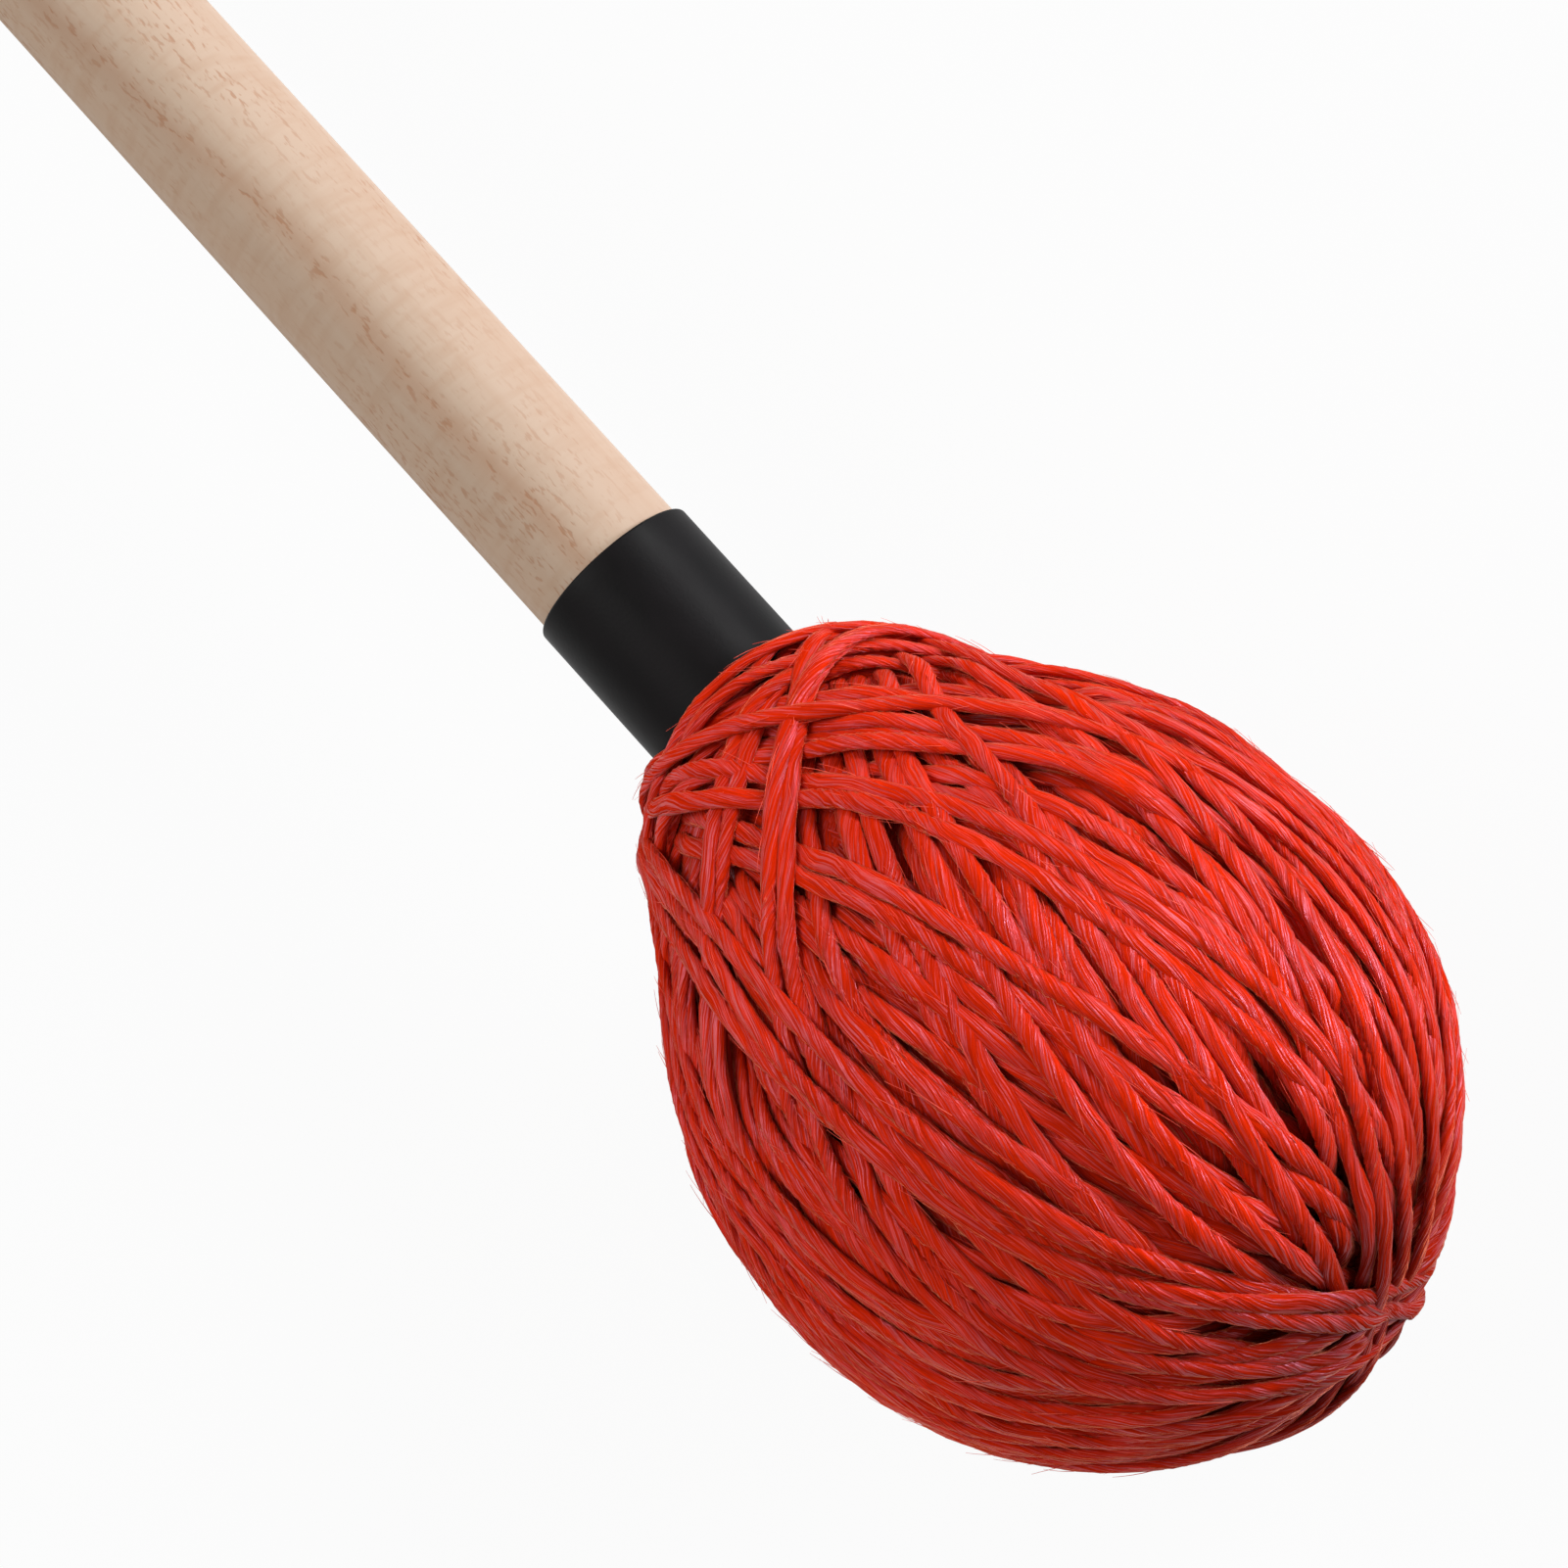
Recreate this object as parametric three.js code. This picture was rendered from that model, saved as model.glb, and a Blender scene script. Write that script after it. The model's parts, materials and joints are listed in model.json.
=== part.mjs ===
// A yarn-wound marimba mallet, lying at rest on a flat surface. Millimetres, +Z up.
// Every piece is made along the mallet's own axis, local +Y, which runs from the butt of the
// handle to the crown of the head. Its zero is at the head's widest ring.
import * as THREE from "three";

// Handle
const overallLength = 415;
const handleDiameter = 9;
const buttRounding = 1.6;
const tenonDepthShare = 0.8;

// Sleeve, which shows between the handle and the yarn
const sleeveWall = 0.38;
const sleeveShownLength = 8.4;
const sleeveRimChamfer = 0.12;

// Head, measured over the outer turns of yarn
const headDiameter = 37.5;
const neckReach = 26.9;
const crownReach = 21.4;
const neckEdgeShare = 0.984;

// Half of the head's outline: how far along its reach, and how far out of its radius
const neckOutlineShares = [
  [0.962, 0.307], [0.871, 0.448], [0.731, 0.577], [0.591, 0.701], [0.455, 0.831], [0.273, 0.949],
];
const crownOutlineShares = [
  [0.245, 0.973], [0.468, 0.887], [0.69, 0.702], [0.866, 0.463], [0.968, 0.228], [1, 0],
];

// Core, as deep under the head's two ends as this, and the layers on it
const coreNeckInset = 13.6;
const coreCrownInset = 10.4;
const coreRoundness = 2.1;
const latexWall = 1;
const seatGap = 0.3;

// Outer turns: two coats, each of a lower and an upper layer. The number of turns is fixed, so the
// yarn's thickness is a share of the head's diameter, and the gaps between turns and the wall of
// packed yarn under them are shares of that thickness. A coat keeps clear of the hole at the neck
// and of the hump at the crown. Its place is counted in layers at the poles and at the sides, and
// its lifts are how much of a layer a turn climbs or dips beside a pole.
const yarnDiameterShare = 0.0347;
const turnGapShare = 0.354;
const packedYarnWallShare = 0.85;
const turnsPerCoat = 12;
const stepsPerQuarter = 6;
const stepCrowding = 1.5;
const underCoat = {
  neckClearance: 3.57,
  crownClearance: 4.15,
  poleLayer: 0,
  sideLayer: 0,
  neckLiftShare: 0.02,
  crownLiftShare: 0.04,
};
const upperCoat = {
  neckClearance: 0.52,
  crownClearance: 0.75,
  poleLayer: 2,
  sideLayer: 1.8,
  neckLiftShare: 0.22,
  crownLiftShare: 0.34,
};
const changeoverTurnShares = [0.62, 0.86];
const firstTurnShare = 0.25;

// The packed yarn under them lies deeper at the poles, between these degrees from a pole, and it
// rises in a hump in the eye of the crown
const poleSink = 2.2;
const poleSinkDegrees = [20, 42];
const crownHumpRadius = 4.2;
const crownHumpDepth = 5.5;
const crownHumpEdgeShares = [0.6, 1.6];

// Stitching, at the edge of the neck's hole and on the crown's hump
const stitchRingShare = 0.5;
const stitchSweepShare = 0.86;
const stitchSteps = 36;
const stitchWaves = 6;
const stitchWaveHeight = 0.4;

// Facets
const lathedSides = 40;
const outlineSteps = 26;
const hiddenSteps = 14;
const roundingSteps = 5;
const yarnSides = 6;
const samplesPerStep = 8;
const angleStep = 0.01;

// How the turns are laid and measured
const layingPasses = 40;
const settledShare = 0.01;
const neighbourSteps = 3;
const samplesPerDiameter = 4;
const neighbourDiameters = 4;
const tiltPasses = 30;
const steepestTilt = Math.PI / 8;

const headRadius = headDiameter / 2;
const handleRadius = handleDiameter / 2;
const seatRadius = handleRadius - seatGap;
const sleeveRadius = handleRadius + sleeveWall;
const neckHoleRadius = sleeveRadius + seatGap;
const yarnDiameter = headDiameter * yarnDiameterShare;
const yarnRadius = yarnDiameter / 2;
const turnGap = yarnDiameter * turnGapShare;
const turnPitch = yarnDiameter + turnGap;
const packedYarnWall = yarnDiameter * packedYarnWallShare;
const coatDepth = seatGap + yarnDiameter + (upperCoat.sideLayer + 1) * turnPitch;
const neckStitchRadius = neckHoleRadius + yarnRadius;
const crownStitchRadius = stitchRingShare * crownHumpRadius;
const neckEdge = -neckReach * neckEdgeShare;
const sleeveStart = neckEdge - sleeveShownLength;
const buttEnd = crownReach - overallLength;
const latexGap = seatGap;
const coreStart = coreNeckInset - neckReach;
const coreEnd = crownReach - coreCrownInset;
const coreLength = coreEnd - coreStart;
const coreMiddle = (coreStart + coreEnd) / 2;
const coreRadius = headRadius - coatDepth - packedYarnWall - seatGap - latexWall - latexGap;

function finish(colour, roughness) {
  return new THREE.MeshStandardMaterial({ color: colour, roughness, metalness: 0 });
}

const wood = finish(0xd3b9a0, 0.5);
const blackTube = finish(0x2a2628, 0.6);
const rubber = finish(0x6b5a4c, 0.8);
const latex = finish(0xd9c08a, 0.7);
const packedYarn = finish(0x8c2112, 0.95);
const yarn = finish(0xc3301c, 0.9);
const stitchYarn = finish(0xa82a18, 0.9);

function named(name, geometry, material) {
  const mesh = new THREE.Mesh(geometry, material.clone());
  mesh.name = name;
  return mesh;
}

// A lathed solid from its half section, listed as [radius, along] from the butt's side outwards
function lathed(section) {
  const points = section.map(([radius, along]) => new THREE.Vector2(radius, along));
  return new THREE.LatheGeometry(points, lathedSides);
}

function roundedCorner(centreRadius, centreAlong, rounding) {
  const corner = [];
  for (let step = 0; step <= roundingSteps; step++) {
    const turn = (step / roundingSteps) * Math.PI / 2;
    corner.push([centreRadius + rounding * Math.sin(turn), centreAlong - rounding * Math.cos(turn)]);
  }
  return corner;
}

// Rounded bodies on the axis: core, latex and the hollow of the packed yarn

function roundedBody(growth) {
  return { halfLength: coreLength / 2 + growth, radius: coreRadius + growth };
}

function bodyAlong(body, radius) {
  const share = (radius / body.radius) ** coreRoundness;
  return body.halfLength * (1 - share) ** (1 / coreRoundness);
}

// Section points of a rounded body from a radius on its neck side over to the crown's axis
function bodySection(body, startRadius) {
  const startAngle = Math.atan2(startRadius, bodyAlong(body, startRadius));
  const section = [[startRadius, coreMiddle - bodyAlong(body, startRadius)]];
  for (let step = 1; step <= hiddenSteps; step++) {
    const angle = startAngle + (Math.PI - startAngle) * (step / hiddenSteps);
    const across = (Math.abs(Math.sin(angle)) / body.radius) ** coreRoundness;
    const along = (Math.abs(Math.cos(angle)) / body.halfLength) ** coreRoundness;
    const reach = (across + along) ** (-1 / coreRoundness);
    section.push([reach * Math.sin(angle), coreMiddle - reach * Math.cos(angle)]);
  }
  section[hiddenSteps][0] = 0;
  return section;
}

// The head's outline in polar form: the angle runs from the neck, 0, to the crown, pi

const headOutline = new THREE.SplineCurve([
  ...neckOutlineShares.map(([along, out]) => new THREE.Vector2(-along * neckReach, out * headRadius)),
  new THREE.Vector2(0, headRadius),
  ...crownOutlineShares.map(([along, out]) => new THREE.Vector2(along * crownReach, out * headRadius)),
]);
const outlinePoints = headOutline.getPoints(outlineSteps * samplesPerStep);
const outlineAngles = outlinePoints.map((point) => Math.atan2(point.y, -point.x));

function outlineReach(angle) {
  let next = outlineAngles.findIndex((outlineAngle) => outlineAngle >= angle);
  if (next < 0) next = outlinePoints.length - 1;
  if (next === 0) next = 1;
  const before = outlinePoints[next - 1];
  const after = outlinePoints[next];
  const beforeAngle = Math.atan2(before.y, -before.x);
  const afterAngle = Math.atan2(after.y, -after.x);
  const share = Math.max(0, (angle - beforeAngle) / (afterAngle - beforeAngle));
  return THREE.MathUtils.lerp(before.length(), after.length(), share);
}

// The packed yarn lies under both coats, deeper at the poles, where the turns climb over each
// other, and it rises in a hump in the eye of the crown
function packedReach(angle) {
  const fromPole = THREE.MathUtils.radToDeg(Math.min(angle, Math.PI - angle));
  const atPole = 1 - THREE.MathUtils.smoothstep(fromPole, poleSinkDegrees[0], poleSinkDegrees[1]);
  const eyeAngle = Math.asin(crownHumpRadius / crownReach);
  const [inner, outer] = crownHumpEdgeShares.map((share) => share * eyeAngle);
  const onHump = 1 - THREE.MathUtils.smoothstep(Math.PI - angle, inner, outer);
  const depth = THREE.MathUtils.lerp(coatDepth + poleSink * atPole, crownHumpDepth, onHump);
  return outlineReach(angle) - depth;
}

function packedSection() {
  const hollow = bodySection(roundedBody(seatGap + latexWall + latexGap), neckHoleRadius);
  let neckAngle = 0;
  for (let pass = 0; pass < outlineSteps; pass++) {
    neckAngle = Math.asin(neckHoleRadius / packedReach(neckAngle));
  }
  const skin = [];
  for (let step = 0; step <= outlineSteps; step++) {
    const angle = neckAngle + (Math.PI - neckAngle) * (step / outlineSteps);
    const reach = packedReach(angle);
    skin.push([reach * Math.sin(angle), -reach * Math.cos(angle)]);
  }
  skin[outlineSteps][0] = 0;
  return [...hollow.reverse(), ...skin];
}

function makeHandle() {
  const tenonEnd = coreStart + coreLength * tenonDepthShare;
  const step = sleeveStart - seatGap;
  return lathed([
    [0, buttEnd],
    ...roundedCorner(handleRadius - buttRounding, buttEnd + buttRounding, buttRounding),
    [handleRadius, step],
    [seatRadius, step],
    [seatRadius, tenonEnd - seatGap],
    [0, tenonEnd - seatGap],
  ]);
}

function makeSleeve() {
  const end = coreStart - seatGap;
  return lathed([
    [handleRadius, end],
    [handleRadius, sleeveStart],
    [sleeveRadius - sleeveRimChamfer, sleeveStart],
    [sleeveRadius, sleeveStart + sleeveRimChamfer],
    [sleeveRadius, end],
    [handleRadius, end],
  ]);
}

function makeCore() {
  const boreEnd = coreStart + coreLength * tenonDepthShare;
  return lathed([[0, boreEnd], [handleRadius, boreEnd], ...bodySection(roundedBody(0), handleRadius)]);
}

function makeLatex() {
  const inside = bodySection(roundedBody(latexGap), neckHoleRadius);
  const outside = bodySection(roundedBody(latexGap + latexWall), neckHoleRadius);
  return lathed([...inside.reverse(), ...outside]);
}

// The path of the outer turns

// How far from a pole a turn passes when it keeps a distance of the ring's radius to the axis
function ringAngle(ring, pole, layer) {
  let angle = 0;
  for (let pass = 0; pass < outlineSteps; pass++) {
    const reach = packedReach(Math.abs(pole - angle)) + seatGap + yarnRadius + layer * turnPitch;
    angle = Math.asin(ring / reach);
  }
  return angle;
}

function coatAt(turns) {
  const last = turnsPerCoat - 1;
  return THREE.MathUtils.smoothstep(turns, last + changeoverTurnShares[0], last + changeoverTurnShares[1]);
}

function mixed(name, coat) {
  return THREE.MathUtils.lerp(underCoat[name], upperCoat[name], coat);
}

// The layer that a turn lies in, from 0: the half that runs to the crown lies on the other half
function layerAt(turns) {
  const coat = coatAt(turns);
  const side = Math.sin(2 * Math.PI * turns);
  const firstStep = Math.sin((Math.PI / 2) * (1 / stepsPerQuarter) ** stepCrowding);
  const away = Math.abs(side) / firstStep;
  const nearNeck = Math.cos(2 * Math.PI * turns) > 0;
  const lift = mixed(nearNeck ? "neckLiftShare" : "crownLiftShare", coat);
  const swing = Math.min(1, away) / 2 + lift * away * Math.exp(1 - away);
  const lower = THREE.MathUtils.lerp(mixed("poleLayer", coat), mixed("sideLayer", coat), side ** 2);
  return lower + 1 / 2 + Math.sign(side) * swing;
}

// The direction of a turn from the head's centre: a circle that passes beside both poles
function directionAt(turns) {
  const coat = coatAt(turns);
  const layer = mixed("poleLayer", coat);
  const neckRing = neckHoleRadius + yarnRadius + mixed("neckClearance", coat);
  const crownRing = crownHumpRadius + yarnRadius + mixed("crownClearance", coat);
  const neckAngle = ringAngle(neckRing, 0, layer);
  const crownAngle = ringAngle(crownRing, Math.PI, layer);
  const spread = (Math.PI + neckAngle - crownAngle) / 2;
  const round = 2 * Math.PI * turns;
  const direction = new THREE.Vector3(Math.sin(spread) * Math.cos(round), -Math.cos(spread), 0);
  direction.z = Math.sin(spread) * Math.sin(round);
  direction.applyAxisAngle(new THREE.Vector3(0, 0, 1), (neckAngle + crownAngle - Math.PI) / 2);
  const advance = (2 * Math.PI * (turns + coat / 2)) / turnsPerCoat;
  return direction.applyAxisAngle(new THREE.Vector3(0, 1, 0), advance);
}

// Steps crowd towards the poles, where the turns bend and climb
function turnSteps(first, last) {
  const steps = [];
  for (let quarter = Math.floor(first * 4); quarter < Math.ceil(last * 4); quarter++) {
    for (let step = 0; step < stepsPerQuarter; step++) {
      const fromPole = quarter % 2 === 0 ? step : stepsPerQuarter - step;
      const share = (fromPole / stepsPerQuarter) ** stepCrowding;
      const turns = (quarter + (quarter % 2 === 0 ? share : 1 - share)) / 4;
      if (turns >= first && turns <= last) steps.push(turns);
    }
  }
  return steps;
}

function angleOf(direction) {
  return Math.acos(THREE.MathUtils.clamp(-direction.y, -1, 1));
}

function place(node) {
  return node.direction.clone().multiplyScalar(packedReach(node.angle) + node.height);
}

function closest(first, second) {
  let least = { distance: Infinity };
  const here = new THREE.Vector3();
  const there = new THREE.Vector3();
  for (let i = 0; i <= samplesPerStep; i++) {
    here.lerpVectors(first.from.at, first.to.at, i / samplesPerStep);
    for (let j = 0; j <= samplesPerStep; j++) {
      there.lerpVectors(second.from.at, second.to.at, j / samplesPerStep);
      const distance = here.distanceTo(there);
      if (distance < least.distance) {
        least = { distance, share: i / samplesPerStep, otherShare: j / samplesPerStep };
        least.higher = here.length() - there.length();
      }
    }
  }
  return least;
}

// Raise a straight stretch by a length at a share of its way, and both its ends with it
function raise(stretch, share, length) {
  const weight = (1 - share) ** 2 + share ** 2;
  stretch.from.height += (length * (1 - share)) / weight;
  stretch.to.height += (length * share) / weight;
  stretch.from.at = place(stretch.from);
  stretch.to.at = place(stretch.to);
}

function clearOfPackedYarn(stretch) {
  const point = new THREE.Vector3();
  for (let i = 0; i <= samplesPerStep; i++) {
    point.lerpVectors(stretch.from.at, stretch.to.at, i / samplesPerStep);
    const reach = point.length();
    const lift = packedReach(angleOf(point.divideScalar(reach))) + seatGap + yarnRadius - reach;
    if (lift > 0) raise(stretch, i / samplesPerStep, lift);
  }
}

// Lay the turns: wherever one would touch another, the higher one is raised over it. The last
// turn stops short of its crown ring and comes in over the middle of the eye.
function layTurns(first, last) {
  const nodes = turnSteps(first, last).slice(0, -1).map((turns) => {
    const direction = directionAt(turns);
    const height = seatGap + yarnRadius + layerAt(turns) * turnPitch;
    return { direction, angle: angleOf(direction), height };
  });
  const overStitch = 2 * (seatGap + yarnDiameter) + stitchWaveHeight;
  nodes.push({ direction: new THREE.Vector3(0, 1, 0), angle: Math.PI, height: overStitch });
  for (const node of nodes) node.at = place(node);
  const stretches = nodes.slice(1).map((to, index) => ({ from: nodes[index], to, index }));
  const pairs = [];
  for (const one of stretches) {
    for (const other of stretches.slice(one.index + neighbourSteps)) {
      const lengths = one.from.at.distanceTo(one.to.at) + other.from.at.distanceTo(other.to.at);
      const apart = one.from.at.distanceTo(other.from.at);
      if (apart < lengths + 2 * turnPitch) pairs.push([one, other]);
    }
  }
  for (let pass = 0; pass < layingPasses; pass++) {
    let raised = 0;
    for (const stretch of stretches) clearOfPackedYarn(stretch);
    for (const [one, other] of pairs) {
      const near = closest(one, other);
      const lift = turnPitch - near.distance;
      if (lift <= 0) continue;
      if (near.higher > 0) raise(one, near.share, lift);
      else raise(other, near.otherShare, lift);
      raised = Math.max(raised, lift);
    }
    if (raised < settledShare * turnGap) break;
  }
  return nodes;
}

// A tube of straight stretches with flat ends, through the given points
function tubeThrough(points, radius) {
  const positions = [];
  const index = [];
  let across = null;
  points.forEach((point, i) => {
    const before = points[Math.max(0, i - 1)];
    const after = points[Math.min(points.length - 1, i + 1)];
    const arriving = point.clone().sub(before).normalize();
    const leaving = after.clone().sub(point).normalize();
    const along = arriving.clone().add(leaving).normalize();
    if (!across) across = new THREE.Vector3(1, 0, 0).cross(along).normalize();
    across.addScaledVector(along, -across.dot(along)).normalize();
    const up = along.clone().cross(across);
    for (let side = 0; side < yarnSides; side++) {
      const angle = (2 * Math.PI * side) / yarnSides;
      const corner = point.clone().addScaledVector(across, radius * Math.cos(angle));
      corner.addScaledVector(up, radius * Math.sin(angle));
      positions.push(corner.x, corner.y, corner.z);
    }
  });
  const end = (points.length - 1) * yarnSides;
  for (let ring = 0; ring < points.length - 1; ring++) {
    for (let side = 0; side < yarnSides; side++) {
      const a = ring * yarnSides + side;
      const b = ring * yarnSides + ((side + 1) % yarnSides);
      index.push(a, b, b + yarnSides, a, b + yarnSides, a + yarnSides);
    }
  }
  for (let side = 1; side < yarnSides - 1; side++) {
    index.push(0, side + 1, side);
    index.push(end, end + side, end + side + 1);
  }
  const geometry = new THREE.BufferGeometry();
  geometry.setAttribute("position", new THREE.Float32BufferAttribute(positions, 3));
  geometry.setIndex(index);
  return geometry;
}

// The least gap of a tube to itself, on points along its middle, in real distances
function leastGapToItself(points, diameter) {
  const samples = [];
  let along = 0;
  for (let i = 1; i < points.length; i++) {
    const length = points[i].distanceTo(points[i - 1]);
    const pieces = Math.ceil((length / diameter) * samplesPerDiameter);
    for (let j = 0; j < pieces; j++) {
      const at = points[i - 1].clone().lerp(points[i], j / pieces);
      samples.push({ at, along: along + (length * j) / pieces });
    }
    along += length;
  }
  let least = Infinity;
  for (let i = 0; i < samples.length; i++) {
    for (let j = i + 1; j < samples.length; j++) {
      if (samples[j].along - samples[i].along < neighbourDiameters * diameter) continue;
      least = Math.min(least, samples[i].at.distanceTo(samples[j].at));
    }
  }
  return { least: least - diameter, length: along };
}

function makeOuterTurns() {
  const lastTurn = 2 * turnsPerCoat - 1 / 2;
  const nodes = layTurns(firstTurnShare, lastTurn);
  const roots = [nodes[0], nodes[nodes.length - 1]].map((node) => {
    return node.direction.clone().multiplyScalar(packedReach(node.angle) + seatGap);
  });
  const points = [roots[0], ...nodes.map((node) => node.at), roots[1]];
  const { least, length } = leastGapToItself(points, yarnDiameter);
  const measured = `${length.toFixed(0)} mm of yarn, least gap to itself ${least.toFixed(2)} mm`;
  console.log(`outer_winding: ${2 * turnsPerCoat} loops, ${measured}`);
  return tubeThrough(points, yarnRadius);
}

// A point square above the packed yarn, as [radius, along]
function abovePackedYarn(angle, height) {
  const section = (at) => new THREE.Vector2(Math.sin(at), -Math.cos(at)).multiplyScalar(packedReach(at));
  const along = section(angle + angleStep).sub(section(angle - angleStep)).normalize();
  return section(angle).add(new THREE.Vector2(along.y, -along.x).multiplyScalar(height));
}

// A stitch round a pole: it comes straight out of the packed yarn, goes most of the way round
// in low waves, and goes straight back in
function stitchAround(pole, ringRadius) {
  let fromPole = 0;
  for (let pass = 0; pass < outlineSteps; pass++) {
    fromPole = Math.asin(ringRadius / packedReach(Math.abs(pole - fromPole)));
  }
  const pointAt = (share, height) => {
    const turn = 2 * Math.PI * stitchSweepShare * share;
    const { x, y } = abovePackedYarn(Math.abs(pole - fromPole), height);
    return new THREE.Vector3(x * Math.cos(turn), y, x * Math.sin(turn));
  };
  const points = [pointAt(0, seatGap)];
  for (let step = 0; step <= stitchSteps; step++) {
    const share = step / stitchSteps;
    const wave = (1 - Math.cos(2 * Math.PI * stitchWaves * share)) / 2;
    points.push(pointAt(share, seatGap + yarnDiameter + stitchWaveHeight * wave));
  }
  points.push(pointAt(1, seatGap));
  return points;
}

const head = new THREE.Group();
head.add(named("core", makeCore(), rubber));
head.add(named("latex_underwrap", makeLatex(), latex));
head.add(named("inner_winding", lathed(packedSection()), packedYarn));
head.add(named("outer_winding", makeOuterTurns(), yarn));
const neckStitch = stitchAround(0, neckStitchRadius);
const crownStitch = stitchAround(Math.PI, crownStitchRadius);
head.add(named("neck_stitching", tubeThrough(neckStitch, yarnRadius), stitchYarn));
head.add(named("crown_stitching", tubeThrough(crownStitch, yarnRadius), stitchYarn));

const mallet = new THREE.Group();
mallet.add(named("handle", makeHandle(), wood));
mallet.add(named("handle_sleeve", makeSleeve(), blackTube));
mallet.add(head);

// The mallet lies along +X on its head and on the edge of its butt: it is tilted until both touch
const lying = new THREE.Group();
lying.add(mallet);
mallet.rotation.z = -Math.PI / 2;

function lowest(object) {
  lying.updateMatrixWorld(true);
  return new THREE.Box3().setFromObject(object, true).min.z;
}

let flatter = 0;
let steeper = steepestTilt;
for (let pass = 0; pass < tiltPasses; pass++) {
  const tilt = (flatter + steeper) / 2;
  lying.rotation.y = -tilt;
  if (lowest(head) < lowest(mallet.getObjectByName("handle"))) flatter = tilt;
  else steeper = tilt;
}

const box = new THREE.Box3().setFromObject(lying, true);
const part = new THREE.Group();
part.add(lying);
lying.position.set(-(box.min.x + box.max.x) / 2, -(box.min.y + box.max.y) / 2, -box.min.z);

export default part;
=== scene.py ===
import json
import math
from typing import NamedTuple

import bpy
import numpy as np
from mathutils import Matrix, Vector

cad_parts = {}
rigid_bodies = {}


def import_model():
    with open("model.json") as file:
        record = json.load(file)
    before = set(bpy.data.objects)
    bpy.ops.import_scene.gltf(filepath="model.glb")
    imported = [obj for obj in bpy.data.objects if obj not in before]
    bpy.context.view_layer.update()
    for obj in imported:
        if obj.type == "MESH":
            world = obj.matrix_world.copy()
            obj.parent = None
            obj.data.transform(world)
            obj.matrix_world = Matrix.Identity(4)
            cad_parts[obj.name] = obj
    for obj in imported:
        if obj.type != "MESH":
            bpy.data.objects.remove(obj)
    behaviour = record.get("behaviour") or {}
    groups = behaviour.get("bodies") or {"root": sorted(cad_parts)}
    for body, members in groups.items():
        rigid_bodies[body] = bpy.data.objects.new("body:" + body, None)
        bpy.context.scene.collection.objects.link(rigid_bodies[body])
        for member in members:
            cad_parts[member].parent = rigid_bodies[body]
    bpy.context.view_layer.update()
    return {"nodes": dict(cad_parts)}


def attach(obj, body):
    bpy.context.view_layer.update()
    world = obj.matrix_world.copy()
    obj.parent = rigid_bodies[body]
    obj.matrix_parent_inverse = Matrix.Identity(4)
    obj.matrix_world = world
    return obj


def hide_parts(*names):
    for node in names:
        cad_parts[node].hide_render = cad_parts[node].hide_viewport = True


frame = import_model()

bl_info = {
    "name": "Marimba mallet",
    "version": (1, 0, 0),
    "blender": (4, 5, 0),
    "location": "3D View > Sidebar > Mallet",
    "description": "Dresses a yarn-wound marimba mallet: dowel, collar, wound head and its stitches",
    "category": "Object",
}

BODY = "root"
WHITE = (1.0, 1.0, 1.0, 1.0)

# The gap between parts that touch on a real mallet
GAP = 0.0003

# Places along the axis, from the widest ring towards the crown
SEAT_START = -0.034
SEAT_END = 0.006
COLLAR_END = -0.0136
COLLAR_CLEARED = -0.013

# The head's half outline, as shares of its reach along the axis and of its radius
NECK_OUTLINE_SHARES = (
    (0.962, 0.307), (0.871, 0.448), (0.731, 0.577), (0.591, 0.701), (0.455, 0.831), (0.273, 0.949),
)
CROWN_OUTLINE_SHARES = (
    (0.245, 0.973), (0.468, 0.887), (0.69, 0.702), (0.866, 0.463), (0.968, 0.228), (1.0, 0.0),
)

# Shares of the neck's reach: where the yarn ends, and where the head's middle starts to drift
NECK_EDGE_SHARE = 0.984
DRIFT_START_SHARE = 0.65

# Off the axis, seen from the head's centre: the rings at the neck, and the packed yarn's edge
NECK_ANGLE = math.radians(14)
PACKED_EDGE_ANGLE = math.radians(15.5)


# Sizes and colours that a user would change

def length_prop(name, description, default):
    return bpy.props.FloatProperty(
        name=name, description=description, default=default, min=0.0, precision=5, unit="LENGTH")


def share_prop(name, description, default):
    return bpy.props.FloatProperty(
        name=name, description=description, default=default, min=0.0, max=2.0, subtype="FACTOR")


def angle_prop(name, description, degrees):
    return bpy.props.FloatProperty(
        name=name, description=description, default=math.radians(degrees), subtype="ANGLE")


def count_prop(name, description, default):
    return bpy.props.IntProperty(name=name, description=description, default=default, min=1)


def colour_prop(name, description, red, green, blue):
    """A colour given as it looks on screen, 0 to 255."""
    linear = [to_linear(value / 255) for value in (red, green, blue)]
    return bpy.props.FloatVectorProperty(
        name=name, description=description, default=linear, size=3, min=0.0, max=1.0, subtype="COLOR")


def to_linear(value):
    return value / 12.92 if value <= 0.04045 else ((value + 0.055) / 1.055) ** 2.4


class MalletHandleSizes(bpy.types.PropertyGroup):
    """Sizes of the wooden handle and its collar"""
    overall: length_prop("Overall length", "From the butt of the handle to the crown of the head", 0.415)
    diameter: length_prop("Handle diameter", "Thickness of the dowel", 0.009)
    butt_rounding: length_prop("Butt rounding", "Radius of the rounded edge at the butt", 0.0016)
    collar_wall: length_prop("Collar wall", "Thickness of the black tube", 0.00038)
    collar_shown: length_prop("Collar shown", "How much of the tube shows before the yarn", 0.0084)
    collar_rim: length_prop("Collar rim", "Radius of the tube's rounded rim", 0.00016)
    sides: count_prop("Sides", "Facets round the dowel and the collar", 128)


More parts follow.
